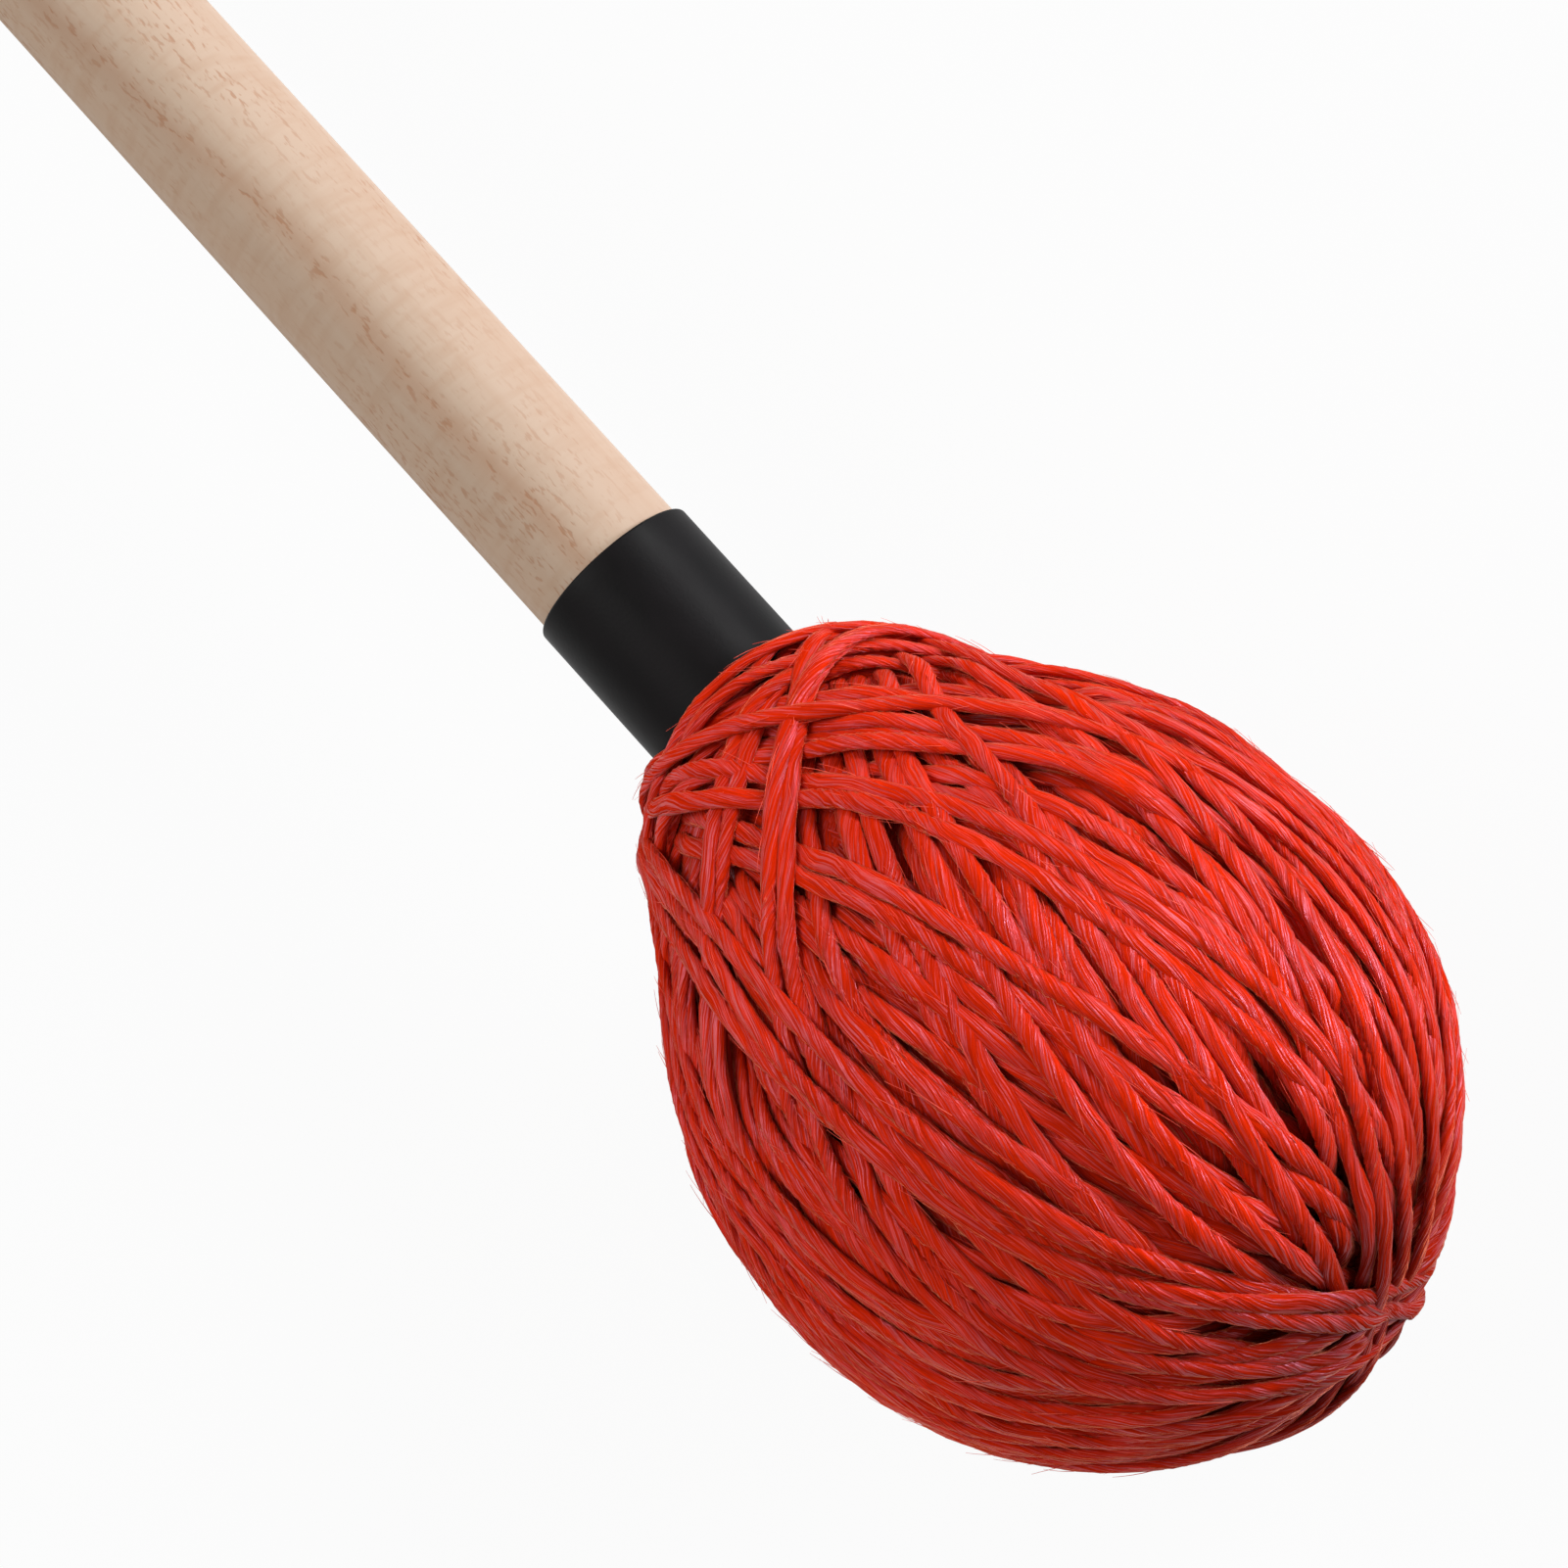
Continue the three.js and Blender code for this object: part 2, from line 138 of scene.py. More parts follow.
class MalletHeadSizes(bpy.types.PropertyGroup):
    """Sizes of the wound head"""
    diameter: length_prop("Head diameter", "Over the yarn, at the widest ring", 0.0375)
    neck_reach: length_prop("Neck reach", "From the widest ring to the neck", 0.0269)
    crown_reach: length_prop("Crown reach", "From the widest ring to the crown", 0.0214)
    navel_depth: length_prop("Navel depth", "How far the yarn is drawn in at the crown", 0.0006)
    navel_radius: length_prop("Navel radius", "How wide the dip at the crown is", 0.0020)
    crown_lean: angle_prop("Crown lean", "How far the winding's crown lies off the axis", 14.8)
    crown_side: angle_prop("Crown side", "Where it leans to, from across towards up", 50)
    drift: length_prop("Drift", "How far the head's middle drifts across towards the crown", 0.0003)


class MalletYarnSizes(bpy.types.PropertyGroup):
    """Sizes and counts of the yarn and its turns"""
    diameter: length_prop("Yarn diameter", "Thickness of the plied yarn", 0.00079)
    flat_width: share_prop("Flat width", "Width of the pressed yarn over its diameter", 1.4)
    flat_height: share_prop("Flat height", "Height of the pressed yarn over its diameter", 0.74)
    lumps: share_prop("Lumps", "How much the yarn's thickness wanders", 0.13)
    plies: count_prop("Plies", "Strands that the yarn is twisted from", 5)
    ply_depth: share_prop("Ply depth", "Depth of the grooves between plies, of the radius", 0.05)
    twist_pitch: length_prop("Twist pitch", "Length of one full twist", 0.0092)
    sides: count_prop("Sides", "Facets round the yarn", 12)
    step: length_prop("Step", "Length of one facet along the yarn", 0.00064)
    turns: count_prop("Turns", "Turns of yarn from the neck to the crown and back", 310)
    group_least: count_prop("Least group", "Fewest turns laid side by side", 1)
    group_most: count_prop("Most group", "Most turns laid side by side", 4)
    advance: angle_prop("Advance", "How far the head is turned for the next turn of a group", -4.3)
    advance_spread: angle_prop("Advance spread", "How much the advance wanders", 1.6)
    jump: angle_prop("Jump", "How far the head is turned between groups", -68.75)
    jump_spread: angle_prop("Jump spread", "How much the jump wanders", 5)
    ring_step: length_prop("Ring step", "How much further out the next turn passes the neck", 0.0014)
    neck_ring_least: length_prop("Least neck ring", "How close to the axis turns pass the neck", 0.00555)
    neck_ring_most: length_prop("Most neck ring", "How far from the axis turns pass the neck", 0.0094)
    crown_ring_least: length_prop("Least crown ring", "How close to the crown turns pass", 0.0003)
    crown_ring_most: length_prop("Most crown ring", "How far from the crown turns pass", 0.0022)
    softness: share_prop("Softness", "How much of its thickness a turn gives where it is crossed", 0.64)
    crown_softness: share_prop("Crown softness", "How much more it gives at the crown, of the rest", 0.7)
    neck_softness: share_prop("Neck softness", "How much more it gives at the neck, of the rest", 0.35)
    crown_pinch: share_prop("Crown pinch", "How much thinner the yarn is drawn at the crown", 0.2)
    deepest: length_prop("Deepest", "How deep the lowest turns lie under the outline", 0.0030)
    packed_share: share_prop("Packed share", "Their depth away from the crown, of the deepest", 0.6)
    fibre_density: bpy.props.FloatProperty(
        name="Fibre density", description="Loose fibres on a square metre of yarn", default=400000.0)
    fibre_deepest: length_prop("Fibres down to", "How deep turns still carry loose fibres", 0.0012)
    fibre_lowest: length_prop("Lowest fibres", "How far above the floor loose fibres start", 0.0009)
    fibre_length: length_prop("Fibre length", "Length of a loose fibre", 0.0017)
    fibre_lift: length_prop("Fibre lift", "How far a loose fibre stands off", 0.00012)
    fibre_thickness: length_prop("Fibre thickness", "Thickness of a loose fibre", 0.00004)
    seed: count_prop("Seed", "Start of the random numbers", 3)


class MalletColours(bpy.types.PropertyGroup):
    """Colours of the mallet"""
    wood: colour_prop("Wood", "Pale close-grained wood", 191, 168, 147)
    wood_dark: colour_prop("Wood grain", "Darker grain in the wood", 172, 134, 105)
    wood_fleck: colour_prop("Wood flecks", "Short brown flecks in the wood", 158, 104, 66)
    collar: colour_prop("Collar", "Matte black tube", 11, 10, 10)
    collar_worn: colour_prop("Worn collar", "The tube where it is rubbed", 20, 17, 18)
    yarn: colour_prop("Yarn", "Plied yarn", 225, 44, 4)
    # Painted highlights on single fibres of the yarn, and the paler tone of loose fibres
    yarn_pale_and_highlight: colour_prop("Paler fibres and painted highlights", "Highlights painted on single fibres, and paler loose fibres", 255, 106, 86)
    # Darker yarn, which also paints the shade in the grooves between the plies
    yarn_dark_and_groove_shade: colour_prop("Darker yarn and groove shade", "Darker yarn, and painted shade between its plies", 168, 28, 10)
    # Painted shade on yarn that lies deep between the turns
    yarn_painted_shade: colour_prop("Painted shade on deep yarn", "Painted shade on the yarn deep between the turns", 92, 17, 6)
    yarn_sheen: colour_prop("Yarn sheen", "Sheen of the yarn's fibres", 255, 142, 104)
    yarn_glint: colour_prop("Yarn glints", "Light that single fibres throw back", 255, 190, 225)
    rubber: colour_prop("Core rubber", "Moulded core", 108, 90, 76)
    latex: colour_prop("Latex", "Wrapped latex strip", 217, 192, 138)


GROUPS = {
    "mallet_handle": MalletHandleSizes,
    "mallet_head": MalletHeadSizes,
    "mallet_yarn": MalletYarnSizes,
    "mallet_colours": MalletColours,
}


# Where the mallet lies

class Placement(NamedTuple):
    """The middle of the widest ring, and the lying mallet's own directions."""
    origin: np.ndarray
    across: np.ndarray
    along: np.ndarray
    up: np.ndarray


def mallet_frame(scene):
    """The mallet's placement, read off the corners of the CAD handle."""
    corners = np.array([vertex.co for vertex in frame["nodes"]["handle"].data.vertices])
    corners = np.unique(np.round(corners, 7), axis=0)
    middle = corners.mean(axis=0)
    along = np.linalg.svd(corners - middle, full_matrices=False)[2][0]
    along *= np.sign(along[0])
    butt = ((corners - middle) @ along).min()
    origin = middle + along * (butt + scene.mallet_handle.overall - scene.mallet_head.crown_reach)
    across = np.array((0.0, 1.0, 0.0))
    return Placement(origin, across, along, np.cross(along, across))


def to_world(scene, points):
    """Points given as (across, along, up) from the widest ring, in the row frame."""
    origin, across, along, up = mallet_frame(scene)
    points = np.asarray(points)
    return origin + points[:, :1] * across + points[:, 1:2] * along + points[:, 2:3] * up


def head_to_world(scene, points):
    """As to_world, for points of the head, whose middle drifts across on the way to the crown."""
    head = scene.mallet_head
    points = np.array(points, float)
    start = DRIFT_START_SHARE * head.neck_reach
    share = (points[:, 1] + start) / (start + head.crown_reach)
    points[:, 0] += head.drift * np.clip(share, 0, 1)
    return to_world(scene, points)


# Node trees

class NodeBuilder:
    """A node tree being built: short calls for the nodes that it uses."""

    def __init__(self, tree):
        self.nodes = tree.nodes
        self.links = tree.links

    def node(self, kind, inputs=None, **settings):
        made = self.nodes.new(kind)
        for key, value in settings.items():
            setattr(made, key, value)
        for key, value in (inputs or {}).items():
            self.feed(made.inputs[key], value)
        return made

    def feed(self, socket, value):
        """Give a socket a link from a node's first output or from any output, or a plain value."""
        if isinstance(value, bpy.types.Node):
            value = value.outputs[0]
        if isinstance(value, bpy.types.NodeSocket):
            self.links.new(value, socket)
        else:
            socket.default_value = value

    def math(self, operation, first, second=0.0):
        return self.node("ShaderNodeMath", {0: first, 1: second}, operation=operation)

    def plus(self, first, second):
        return self.math("ADD", first, second)

    def minus(self, first, second):
        return self.math("SUBTRACT", first, second)

    def times(self, first, second):
        return self.math("MULTIPLY", first, second)

    def seen_as(self, output, usual, seen, ray, share=1.0):
        """Let the camera and one more kind of ray see another shader than the usual one."""
        path = self.node("ShaderNodeLightPath").outputs
        share = self.times(self.math("MAXIMUM", path["Is Camera Ray"], path[ray]), share)
        mixed = self.node("ShaderNodeMixShader", {0: share, 1: usual, 2: seen})
        self.feed(self.nodes[output].inputs["Surface"], mixed)

    def split(self, vector):
        return self.node("ShaderNodeSeparateXYZ", {0: vector}).outputs

    def ply_wave(self, side, plies):
        """A wave round the yarn, 1 on each ply and -1 in each groove."""
        x, y, _ = self.split(side)
        return self.math("COSINE", self.times(self.math("ARCTAN2", y, x), plies))


# Materials

# The colour sockets of a mix node, whose names repeat
MIX_FIRST, MIX_SECOND, MIX_RESULT = 6, 7, 2

# Scales of the wood's noise, per metre along the dowel and across it
WOOD_GRAIN = (14, 900, 900)
WOOD_BANDS = (5, 220, 220)
WOOD_FLECKS = (1100, 4200, 4200)
WOOD_CURLS = (1250, 240, 240)
WOOD_PATCHES = (60, 160, 160)
WOOD_WIGGLE = (30, 30, 30)

# Scales of the other materials' noise, per metre
COLLAR_CLOUDS = (120, 300, 300)
COLLAR_GRIT = 5200.0
PACKED_STRANDS = (160, 900, 900)
YARN_CLOUDS = 210.0
FIBRE_CLOUDS = 900.0

DARKER = 0.7


class Shader(NodeBuilder):
    """A material being built round its Principled BSDF."""

    def __init__(self, name):
        self.material = bpy.data.materials.new(name)
        self.material.use_nodes = True
        super().__init__(self.material.node_tree)
        self.surface = self.nodes["Principled BSDF"]

    def layered(self, ground, layers):
        """A colour with others laid over it, each by its share."""
        tone = colour(ground)
        for share, over in layers:
            inputs = {"Factor": share, MIX_FIRST: tone, MIX_SECOND: colour(over)}
            tone = self.node("ShaderNodeMix", inputs, data_type="RGBA").outputs[MIX_RESULT]
        return tone

    def ramp(self, value, low, high, to_low=0.0, to_high=1.0):
        return self.node("ShaderNodeMapRange", {
            "Value": value, "From Min": low, "From Max": high,
            "To Min": to_low, "To Max": to_high})

    def noise(self, vector, scale, detail=2.0, roughness=0.5, distortion=0.0):
        return self.node("ShaderNodeTexNoise", {
            "Vector": vector, "Scale": scale, "Detail": detail, "Roughness": roughness,
            "Distortion": distortion}).outputs["Fac"]

    def stretched_noise(self, vector, scales, detail=2.0, roughness=0.5):
        """Noise with its own scale along each axis."""
        placed = self.node("ShaderNodeMapping", {"Vector": vector, "Scale": scales})
        return self.noise(placed, 1.0, detail, roughness)

    def object_place(self):
        return self.node("ShaderNodeTexCoord").outputs["Object"]

    def attribute(self, name, output="Fac"):
        return self.node("ShaderNodeAttribute", attribute_name=name).outputs[output]

    def bump(self, height, distance, strength):
        made = self.node("ShaderNodeBump", {
            "Height": height, "Distance": distance, "Strength": strength})
        self.feed(self.surface.inputs["Normal"], made)

    def finish(self, **sockets):
        """Feed the surface's sockets, named with underscores, and give the material back."""
        for key, value in sockets.items():
            self.feed(self.surface.inputs[key.replace("_", " ")], value)
        return self.material


def colour(tone):
    return (*tone, 1.0)


def darker(tone):
    return tuple(value * DARKER for value in tone)


def wood_material(scene):
    """Pale wood with grain, curls and brown flecks, which gather in patches and along one streak."""
    tones = scene.mallet_colours
    shader = Shader("Pale dowel wood")
    tilt = math.asin(mallet_frame(scene).along[2])
    place = shader.node("ShaderNodeMapping", {"Vector": shader.object_place(), "Rotation": (0, tilt, 0)})
    grain = shader.stretched_noise(place, WOOD_GRAIN, 4.0, 0.6)
    flecks = shader.stretched_noise(place, WOOD_FLECKS, roughness=0.6)
    scales = (WOOD_BANDS, WOOD_CURLS, WOOD_PATCHES, WOOD_WIGGLE)
    bands, curls, patches, wiggle = [shader.stretched_noise(place, scale) for scale in scales]
    off_streak = shader.plus(shader.split(place)[1], shader.ramp(wiggle, 0.3, 0.7, 0.0002, 0.0022))
    streak = shader.ramp(shader.math("ABSOLUTE", off_streak), 0.0001, 0.0011, 1.0, 0.0)
    often = shader.math("MAXIMUM", shader.ramp(patches, 0.45, 0.6, 0.2, 1.0), streak)
    flecked = shader.times(shader.ramp(flecks, 0.56, 0.64), often)
    tone = shader.layered(tones.wood, (
        (shader.ramp(bands, 0.35, 0.7, 0.0, 0.28), tones.wood_dark),
        (shader.ramp(grain, 0.4, 0.75, 0.0, 0.2), tones.wood_dark),
        (shader.times(streak, 0.3), tones.wood_fleck),
        (shader.times(flecked, 0.55), tones.wood_fleck),
        (shader.ramp(curls, 0.48, 0.72, 0.0, 0.26), tones.wood_dark),
    ))
    shader.bump(shader.minus(grain, shader.times(flecked, 0.5)), distance=0.00003, strength=0.5)
    return shader.finish(
        Base_Color=tone, Roughness=shader.ramp(grain, 0.3, 0.7, 0.6, 0.72), Specular_IOR_Level=0.2)


def collar_material(scene):
    """A matte tube with rubbed places and a fine grit."""
    tones = scene.mallet_colours
    shader = Shader("Matte black tube")
    place = shader.object_place()
    cloud = shader.stretched_noise(place, COLLAR_CLOUDS, 3.0, 0.6)
    tone = shader.layered(tones.collar, [(shader.ramp(cloud, 0.35, 0.7), tones.collar_worn)])
    shader.bump(shader.noise(place, COLLAR_GRIT), distance=0.00002, strength=0.35)
    return shader.finish(
        Base_Color=tone, Roughness=shader.ramp(cloud, 0.3, 0.7, 0.44, 0.56), Specular_IOR_Level=0.1)


def yarn_material(scene, name, brightness=1.0):
    """Plied yarn. Its attributes: "along" is the place along it, "side" the direction round it that
    turns with the plies, "depth" how far it lies under the outline, raised at the navel and near the
    crown to set painted shade there, "tangent" the way it runs. Its colour has painted shade in the ply
    grooves and on deep yarn, and painted highlights along single fibres."""
    tones = scene.mallet_colours
    shader = Shader(name)
    along = shader.attribute("along")
    side = shader.attribute("side", "Vector")
    x, y, _ = shader.split(side)
    groove = shader.ramp(shader.ply_wave(side, float(scene.mallet_yarn.plies)), -1.0, 0.55, 1.0, 0.0)

    def streaks(around, per_metre, detail=2.0, distortion=0.0):
        """Noise drawn out along the fibres."""
        place = shader.node("ShaderNodeCombineXYZ", {
            0: shader.times(x, around), 1: shader.times(y, around), 2: shader.times(along, per_metre)})
        return shader.noise(place, 1.0, detail, 0.6, distortion)

    fibres = streaks(around=3.4, per_metre=420.0, detail=3.0)
    bundles = streaks(around=1.5, per_metre=160.0, distortion=0.4)
    highlight_wisps = streaks(around=6.0, per_metre=300.0)
    clouds = shader.noise(shader.object_place(), YARN_CLOUDS)
    tone = shader.layered([value * brightness for value in tones.yarn], (
        (shader.ramp(fibres, 0.4, 0.66, 0.0, 0.6), tones.yarn_dark_and_groove_shade),
        (shader.ramp(bundles, 0.45, 0.7, 0.0, 0.35), tones.yarn_dark_and_groove_shade),
        # Painted shade in the grooves between the plies
        (shader.times(groove, 0.12), tones.yarn_dark_and_groove_shade),
        (shader.ramp(clouds, 0.42, 0.7, 0.0, 0.3), tones.yarn_dark_and_groove_shade),
        # Painted highlights: pale streaks along single fibres
        (shader.ramp(highlight_wisps, 0.58, 0.7, 0.0, 0.14), tones.yarn_pale_and_highlight),
        # Painted shade, growing with the depth under other turns and near the crown
        (shader.ramp(shader.attribute("depth"), 0.0007, 0.0030, 0.0, 0.6), tones.yarn_painted_shade),
    ))
    height = shader.plus(fibres, shader.times(bundles, 0.8))
    height = shader.minus(height, shader.times(groove, 0.12))
    shader.bump(height, distance=0.00018, strength=0.75)
    return shader.finish(
        Base_Color=tone,
        Roughness=shader.ramp(highlight_wisps, 0.46, 0.6, 0.6, 0.34),
        Specular_IOR_Level=shader.ramp(highlight_wisps, 0.48, 0.62, 0.0, 1.15),
        Specular_Tint=colour(tones.yarn_glint),
        Anisotropic=0.8, Anisotropic_Rotation=0.25, Tangent=shader.attribute("tangent", "Vector"),
        Sheen_Weight=0.95, Sheen_Roughness=0.15, Sheen_Tint=colour(tones.yarn_sheen))


def clouded_material(name, tone, scales, roughness, relief, strength):
    """A matte material whose tone and height wander together."""
    shader = Shader(name)
    cloud = shader.stretched_noise(shader.object_place(), scales, 3.0, 0.6)
    mixed = shader.layered(tone, [(shader.ramp(cloud, 0.35, 0.7), darker(tone))])
    shader.bump(cloud, relief, strength)
    return shader.finish(Base_Color=mixed, Roughness=roughness)


def fibre_material(scene):
    tones = scene.mallet_colours
    shader = Shader("Loose yarn fibres")
    cloud = shader.noise(shader.object_place(), FIBRE_CLOUDS)
    tone = shader.layered(tones.yarn, [(shader.ramp(cloud, 0.35, 0.65), tones.yarn_pale_and_highlight)])
    return shader.finish(Base_Color=tone, Roughness=0.6, Specular_IOR_Level=0.3)


def floor_material():
    """A pale floor that the camera sees as nearly white, while it lights the mallet less."""
    shader = Shader("Pale studio floor")
    shader.finish(Base_Color=FLOOR_TONE, Roughness=0.9, Specular_IOR_Level=0.1)
    glow = shader.node("ShaderNodeEmission", {"Color": WHITE, "Strength": 1.0})
    shader.seen_as("Material Output", shader.surface, glow, "Is Glossy Ray", FLOOR_GLOW)
    return shader.material


# Shared by the pieces

def add_object(name, data, material=None):
    made = bpy.data.objects.new(name, data)
    bpy.context.scene.collection.objects.link(made)
    if material:
        data.materials.append(material)
    return made


def set_only_material(mesh, material):
    mesh.materials.clear()
    mesh.materials.append(material)


def dress(piece, slot, *nodes):
    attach(piece, BODY)
    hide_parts(*nodes)


# Lathed pieces

def lathed_mesh(scene, name, section, sides, place=to_world):
    """A closed lathed mesh from its half section, listed as (radius, along) from the butt's side."""
    points, rows = [], []
    for radius, along in section:
        count = sides if radius > 0 else 1
        rows.append(range(len(points), len(points) + count))
        for side in range(count):
            angle = 2 * math.pi * side / sides
            points.append((radius * math.cos(angle), along, radius * math.sin(angle)))
    pairs = list(zip(rows, rows[1:]))
    if section[0][0] > 0:
        pairs.append((rows[-1], rows[0]))
    faces = []
    for lower, upper in pairs:
        for side in range(sides):
            after = (side + 1) % sides
            corners = (lower[side % len(lower)], lower[after % len(lower)],
                       upper[after % len(upper)], upper[side % len(upper)])
            faces.append(list(dict.fromkeys(corners)))
    mesh = bpy.data.meshes.new(name)
    mesh.from_pydata(place(scene, points).tolist(), [], faces)
    mesh.update()
    return mesh


def rounded_edge(radius, start, rounding, steps):
    """Half section of a cylinder's rounded edge, from its end face to its side."""
    arc = []
    for step in range(steps + 1):
        angle = step / steps * math.pi / 2
        out, along = rounding * math.sin(angle), rounding * math.cos(angle)
        arc.append((radius - rounding + out, start + rounding - along))
    return arc


def straight(radius, start, end, stations):
    """Half section of a cylinder's side, in short lengths."""
    return [(radius, start + (end - start) * station / stations) for station in range(1, stations + 1)]


def add_lathed(scene, name, section, sides, material, place=to_world, sharp_degrees=40):
    """A lathed piece, smooth but for its sharp edges."""
    piece = add_object(name, lathed_mesh(scene, name, section, sides, place), material)
    piece.data.shade_smooth()
    piece.data.set_sharp_from_angle(angle=math.radians(sharp_degrees))
    return piece


class MALLET_OT_handle(bpy.types.Operator):
    """Turn the wooden dowel from its rounded butt to its hidden end in the core"""
    bl_idname = "mallet.handle"
    bl_label = "Handle"

    def execute(self, context):
        scene = context.scene
        sizes = scene.mallet_handle
        radius = sizes.diameter / 2
        butt = scene.mallet_head.crown_reach - sizes.overall
        section = [(0.0, butt), (radius * 0.5, butt)]
        section += rounded_edge(radius, butt, sizes.butt_rounding, steps=10)
        section += straight(radius, butt + sizes.butt_rounding, SEAT_START, stations=60)
        section += [(radius - GAP, SEAT_START), (radius - GAP, SEAT_END), (0.0, SEAT_END)]
        piece = add_lathed(scene, "dowel", section, sizes.sides, wood_material(scene))
        dress(piece, "wood", "handle")
        return {"FINISHED"}


class MALLET_OT_collar(bpy.types.Operator):
    """Shrink the black tube over the handle where it enters the head"""
    bl_idname = "mallet.collar"
    bl_label = "Collar"

    def execute(self, context):
        scene = context.scene
        sizes = scene.mallet_handle
        inner = sizes.diameter / 2
        outer = inner + sizes.collar_wall
        start = -scene.mallet_head.neck_reach * NECK_EDGE_SHARE - sizes.collar_shown
        section = [(inner, COLLAR_END), (inner, start)]
        section += rounded_edge(outer, start, sizes.collar_rim, steps=6)
        section += straight(outer, start + sizes.collar_rim, COLLAR_END, stations=24)
        piece = add_lathed(scene, "collar", section, sizes.sides, collar_material(scene))
        dress(piece, "black_tube", "handle_sleeve")
        return {"FINISHED"}


# The head's outline

# Samples between two points of the outline, and the angle over which its slope is taken
CURVE_SAMPLES = 12
SLOPE_STEP = 0.02


class Outline:
    """The head's outline in polar form: the angle runs from the neck, 0, to the crown, pi."""

    def __init__(self, scene):
        head = scene.mallet_head
        radius = head.diameter / 2
        points = [(-along * head.neck_reach, out * radius) for along, out in NECK_OUTLINE_SHARES]
        points.append((0.0, radius))
        points += [(along * head.crown_reach, out * radius) for along, out in CROWN_OUTLINE_SHARES]
        points.append((points[-2][0], -points[-2][1]))
        points = np.array(points)
        curve = []
        for index in range(len(points) - 2):
            before = points[max(0, index - 1)]
            here, after, beyond = points[index:index + 3]
            for share in np.linspace(0, 1, CURVE_SAMPLES, endpoint=False):
                curve.append(0.5 * (2 * here + (after - before) * share
                                    + (2 * before - 5 * here + 4 * after - beyond) * share ** 2
                                    + (3 * here - before - 3 * after + beyond) * share ** 3))
        curve = np.array(curve + [points[-2]])
        angles = np.arctan2(curve[:, 1], -curve[:, 0])
        flat = np.linspace(0, angles[0], CURVE_SAMPLES, endpoint=False)
        self.angles = np.concatenate([flat, angles])
        self.reaches = np.concatenate([-curve[0, 0] / np.cos(flat), np.hypot(curve[:, 0], curve[:, 1])])

    def reach(self, angle):
        return np.interp(angle, self.angles, self.reaches)

    def surface(self, directions):
        """Points on the outline and its outward normals, for unit directions (across, along, up)."""
        angle = polar_angle(directions)
        out = np.maximum(np.hypot(directions[:, 0], directions[:, 2]), 1e-9)
        radial = np.stack([directions[:, 0] / out, np.zeros_like(out), directions[:, 2] / out], axis=1)
        low = np.maximum(angle - SLOPE_STEP, 0.0)
        high = np.minimum(angle + SLOPE_STEP, math.pi)
        low_reach, high_reach = self.reach(low), self.reach(high)
        run_out = high_reach * np.sin(high) - low_reach * np.sin(low)
        run_along = -high_reach * np.cos(high) + low_reach * np.cos(low)
        length = np.hypot(run_out, run_along)
        normal = radial * (run_along / length)[:, None]
        normal[:, 1] = -run_out / length
        return directions * self.reach(angle)[:, None], normal


def polar_angle(directions):
    """How far unit directions lie off the neck's end of the axis."""
    return np.arccos(np.clip(-directions[..., 1], -1, 1))


def unit(vectors):
    return vectors / np.linalg.norm(vectors, axis=-1, keepdims=True)


# Planning the turns

# Points on each turn while it is planned, and turns planned beyond those that are laid
FINE_STEPS = 720
SPARE_TURNS = 3

# How much of a turn before and after the neck it takes to change the heading
JUMP_SPAN_SHARE = 0.11

# The crown's lean starts at this angle from the neck
LEAN_START = math.pi * 0.35

# The rings of a group at the neck, in ring steps: the first one, and from each one to the next
FIRST_RING_STEPS = (0, 1.2)
NEXT_RING_STEPS = (0.4, 1.5)


def eased(share):
    """A share held between 0 and 1 that starts and ends gently."""
    share = np.clip(share, 0, 1)
    return share * share * (3 - 2 * share)


def between(values, at):
    """Values given at whole numbers, blended smoothly between them."""
    low = np.clip(np.floor(at).astype(int), 0, len(values) - 2)
    share = eased(at - low)
    return values[low] * (1 - share) + values[low + 1] * share


def turned(directions, axis, angles):
    """Each direction turned about an axis by its own angle."""
    axis = np.asarray(axis, float)
    cos, sin = np.cos(angles)[:, None], np.sin(angles)[:, None]
    along = (directions @ axis)[:, None] * axis
    return directions * cos + np.cross(axis, directions) * sin + along * (1 - cos)


def turn_plan(yarn, random, count):
    """Heading and neck ring of each turn: groups of turns laid side by side, then a jump round."""
    headings, rings = [], []
    heading = 0.0
    while len(headings) < count:
        heading += yarn.jump + random.normal(0, yarn.jump_spread)
        ring = yarn.neck_ring_least + yarn.ring_step * random.uniform(*FIRST_RING_STEPS)
        for _ in range(random.integers(yarn.group_least, yarn.group_most + 1)):
            headings.append(heading)
            rings.append(min(ring, yarn.neck_ring_most))
            heading += yarn.advance + random.normal(0, yarn.advance_spread)
            ring += yarn.ring_step * random.uniform(*NEXT_RING_STEPS)
    return np.array(headings[:count]), np.array(rings[:count])


def crown_pole(head):
    """The direction of the winding's crown, and the axis that it leans about."""
    lean_axis = np.array((math.sin(head.crown_side), 0.0, -math.cos(head.crown_side)))
    pole = turned(np.array([[0.0, 1.0, 0.0]]), lean_axis, np.array([head.crown_lean]))[0]
    return pole, lean_axis


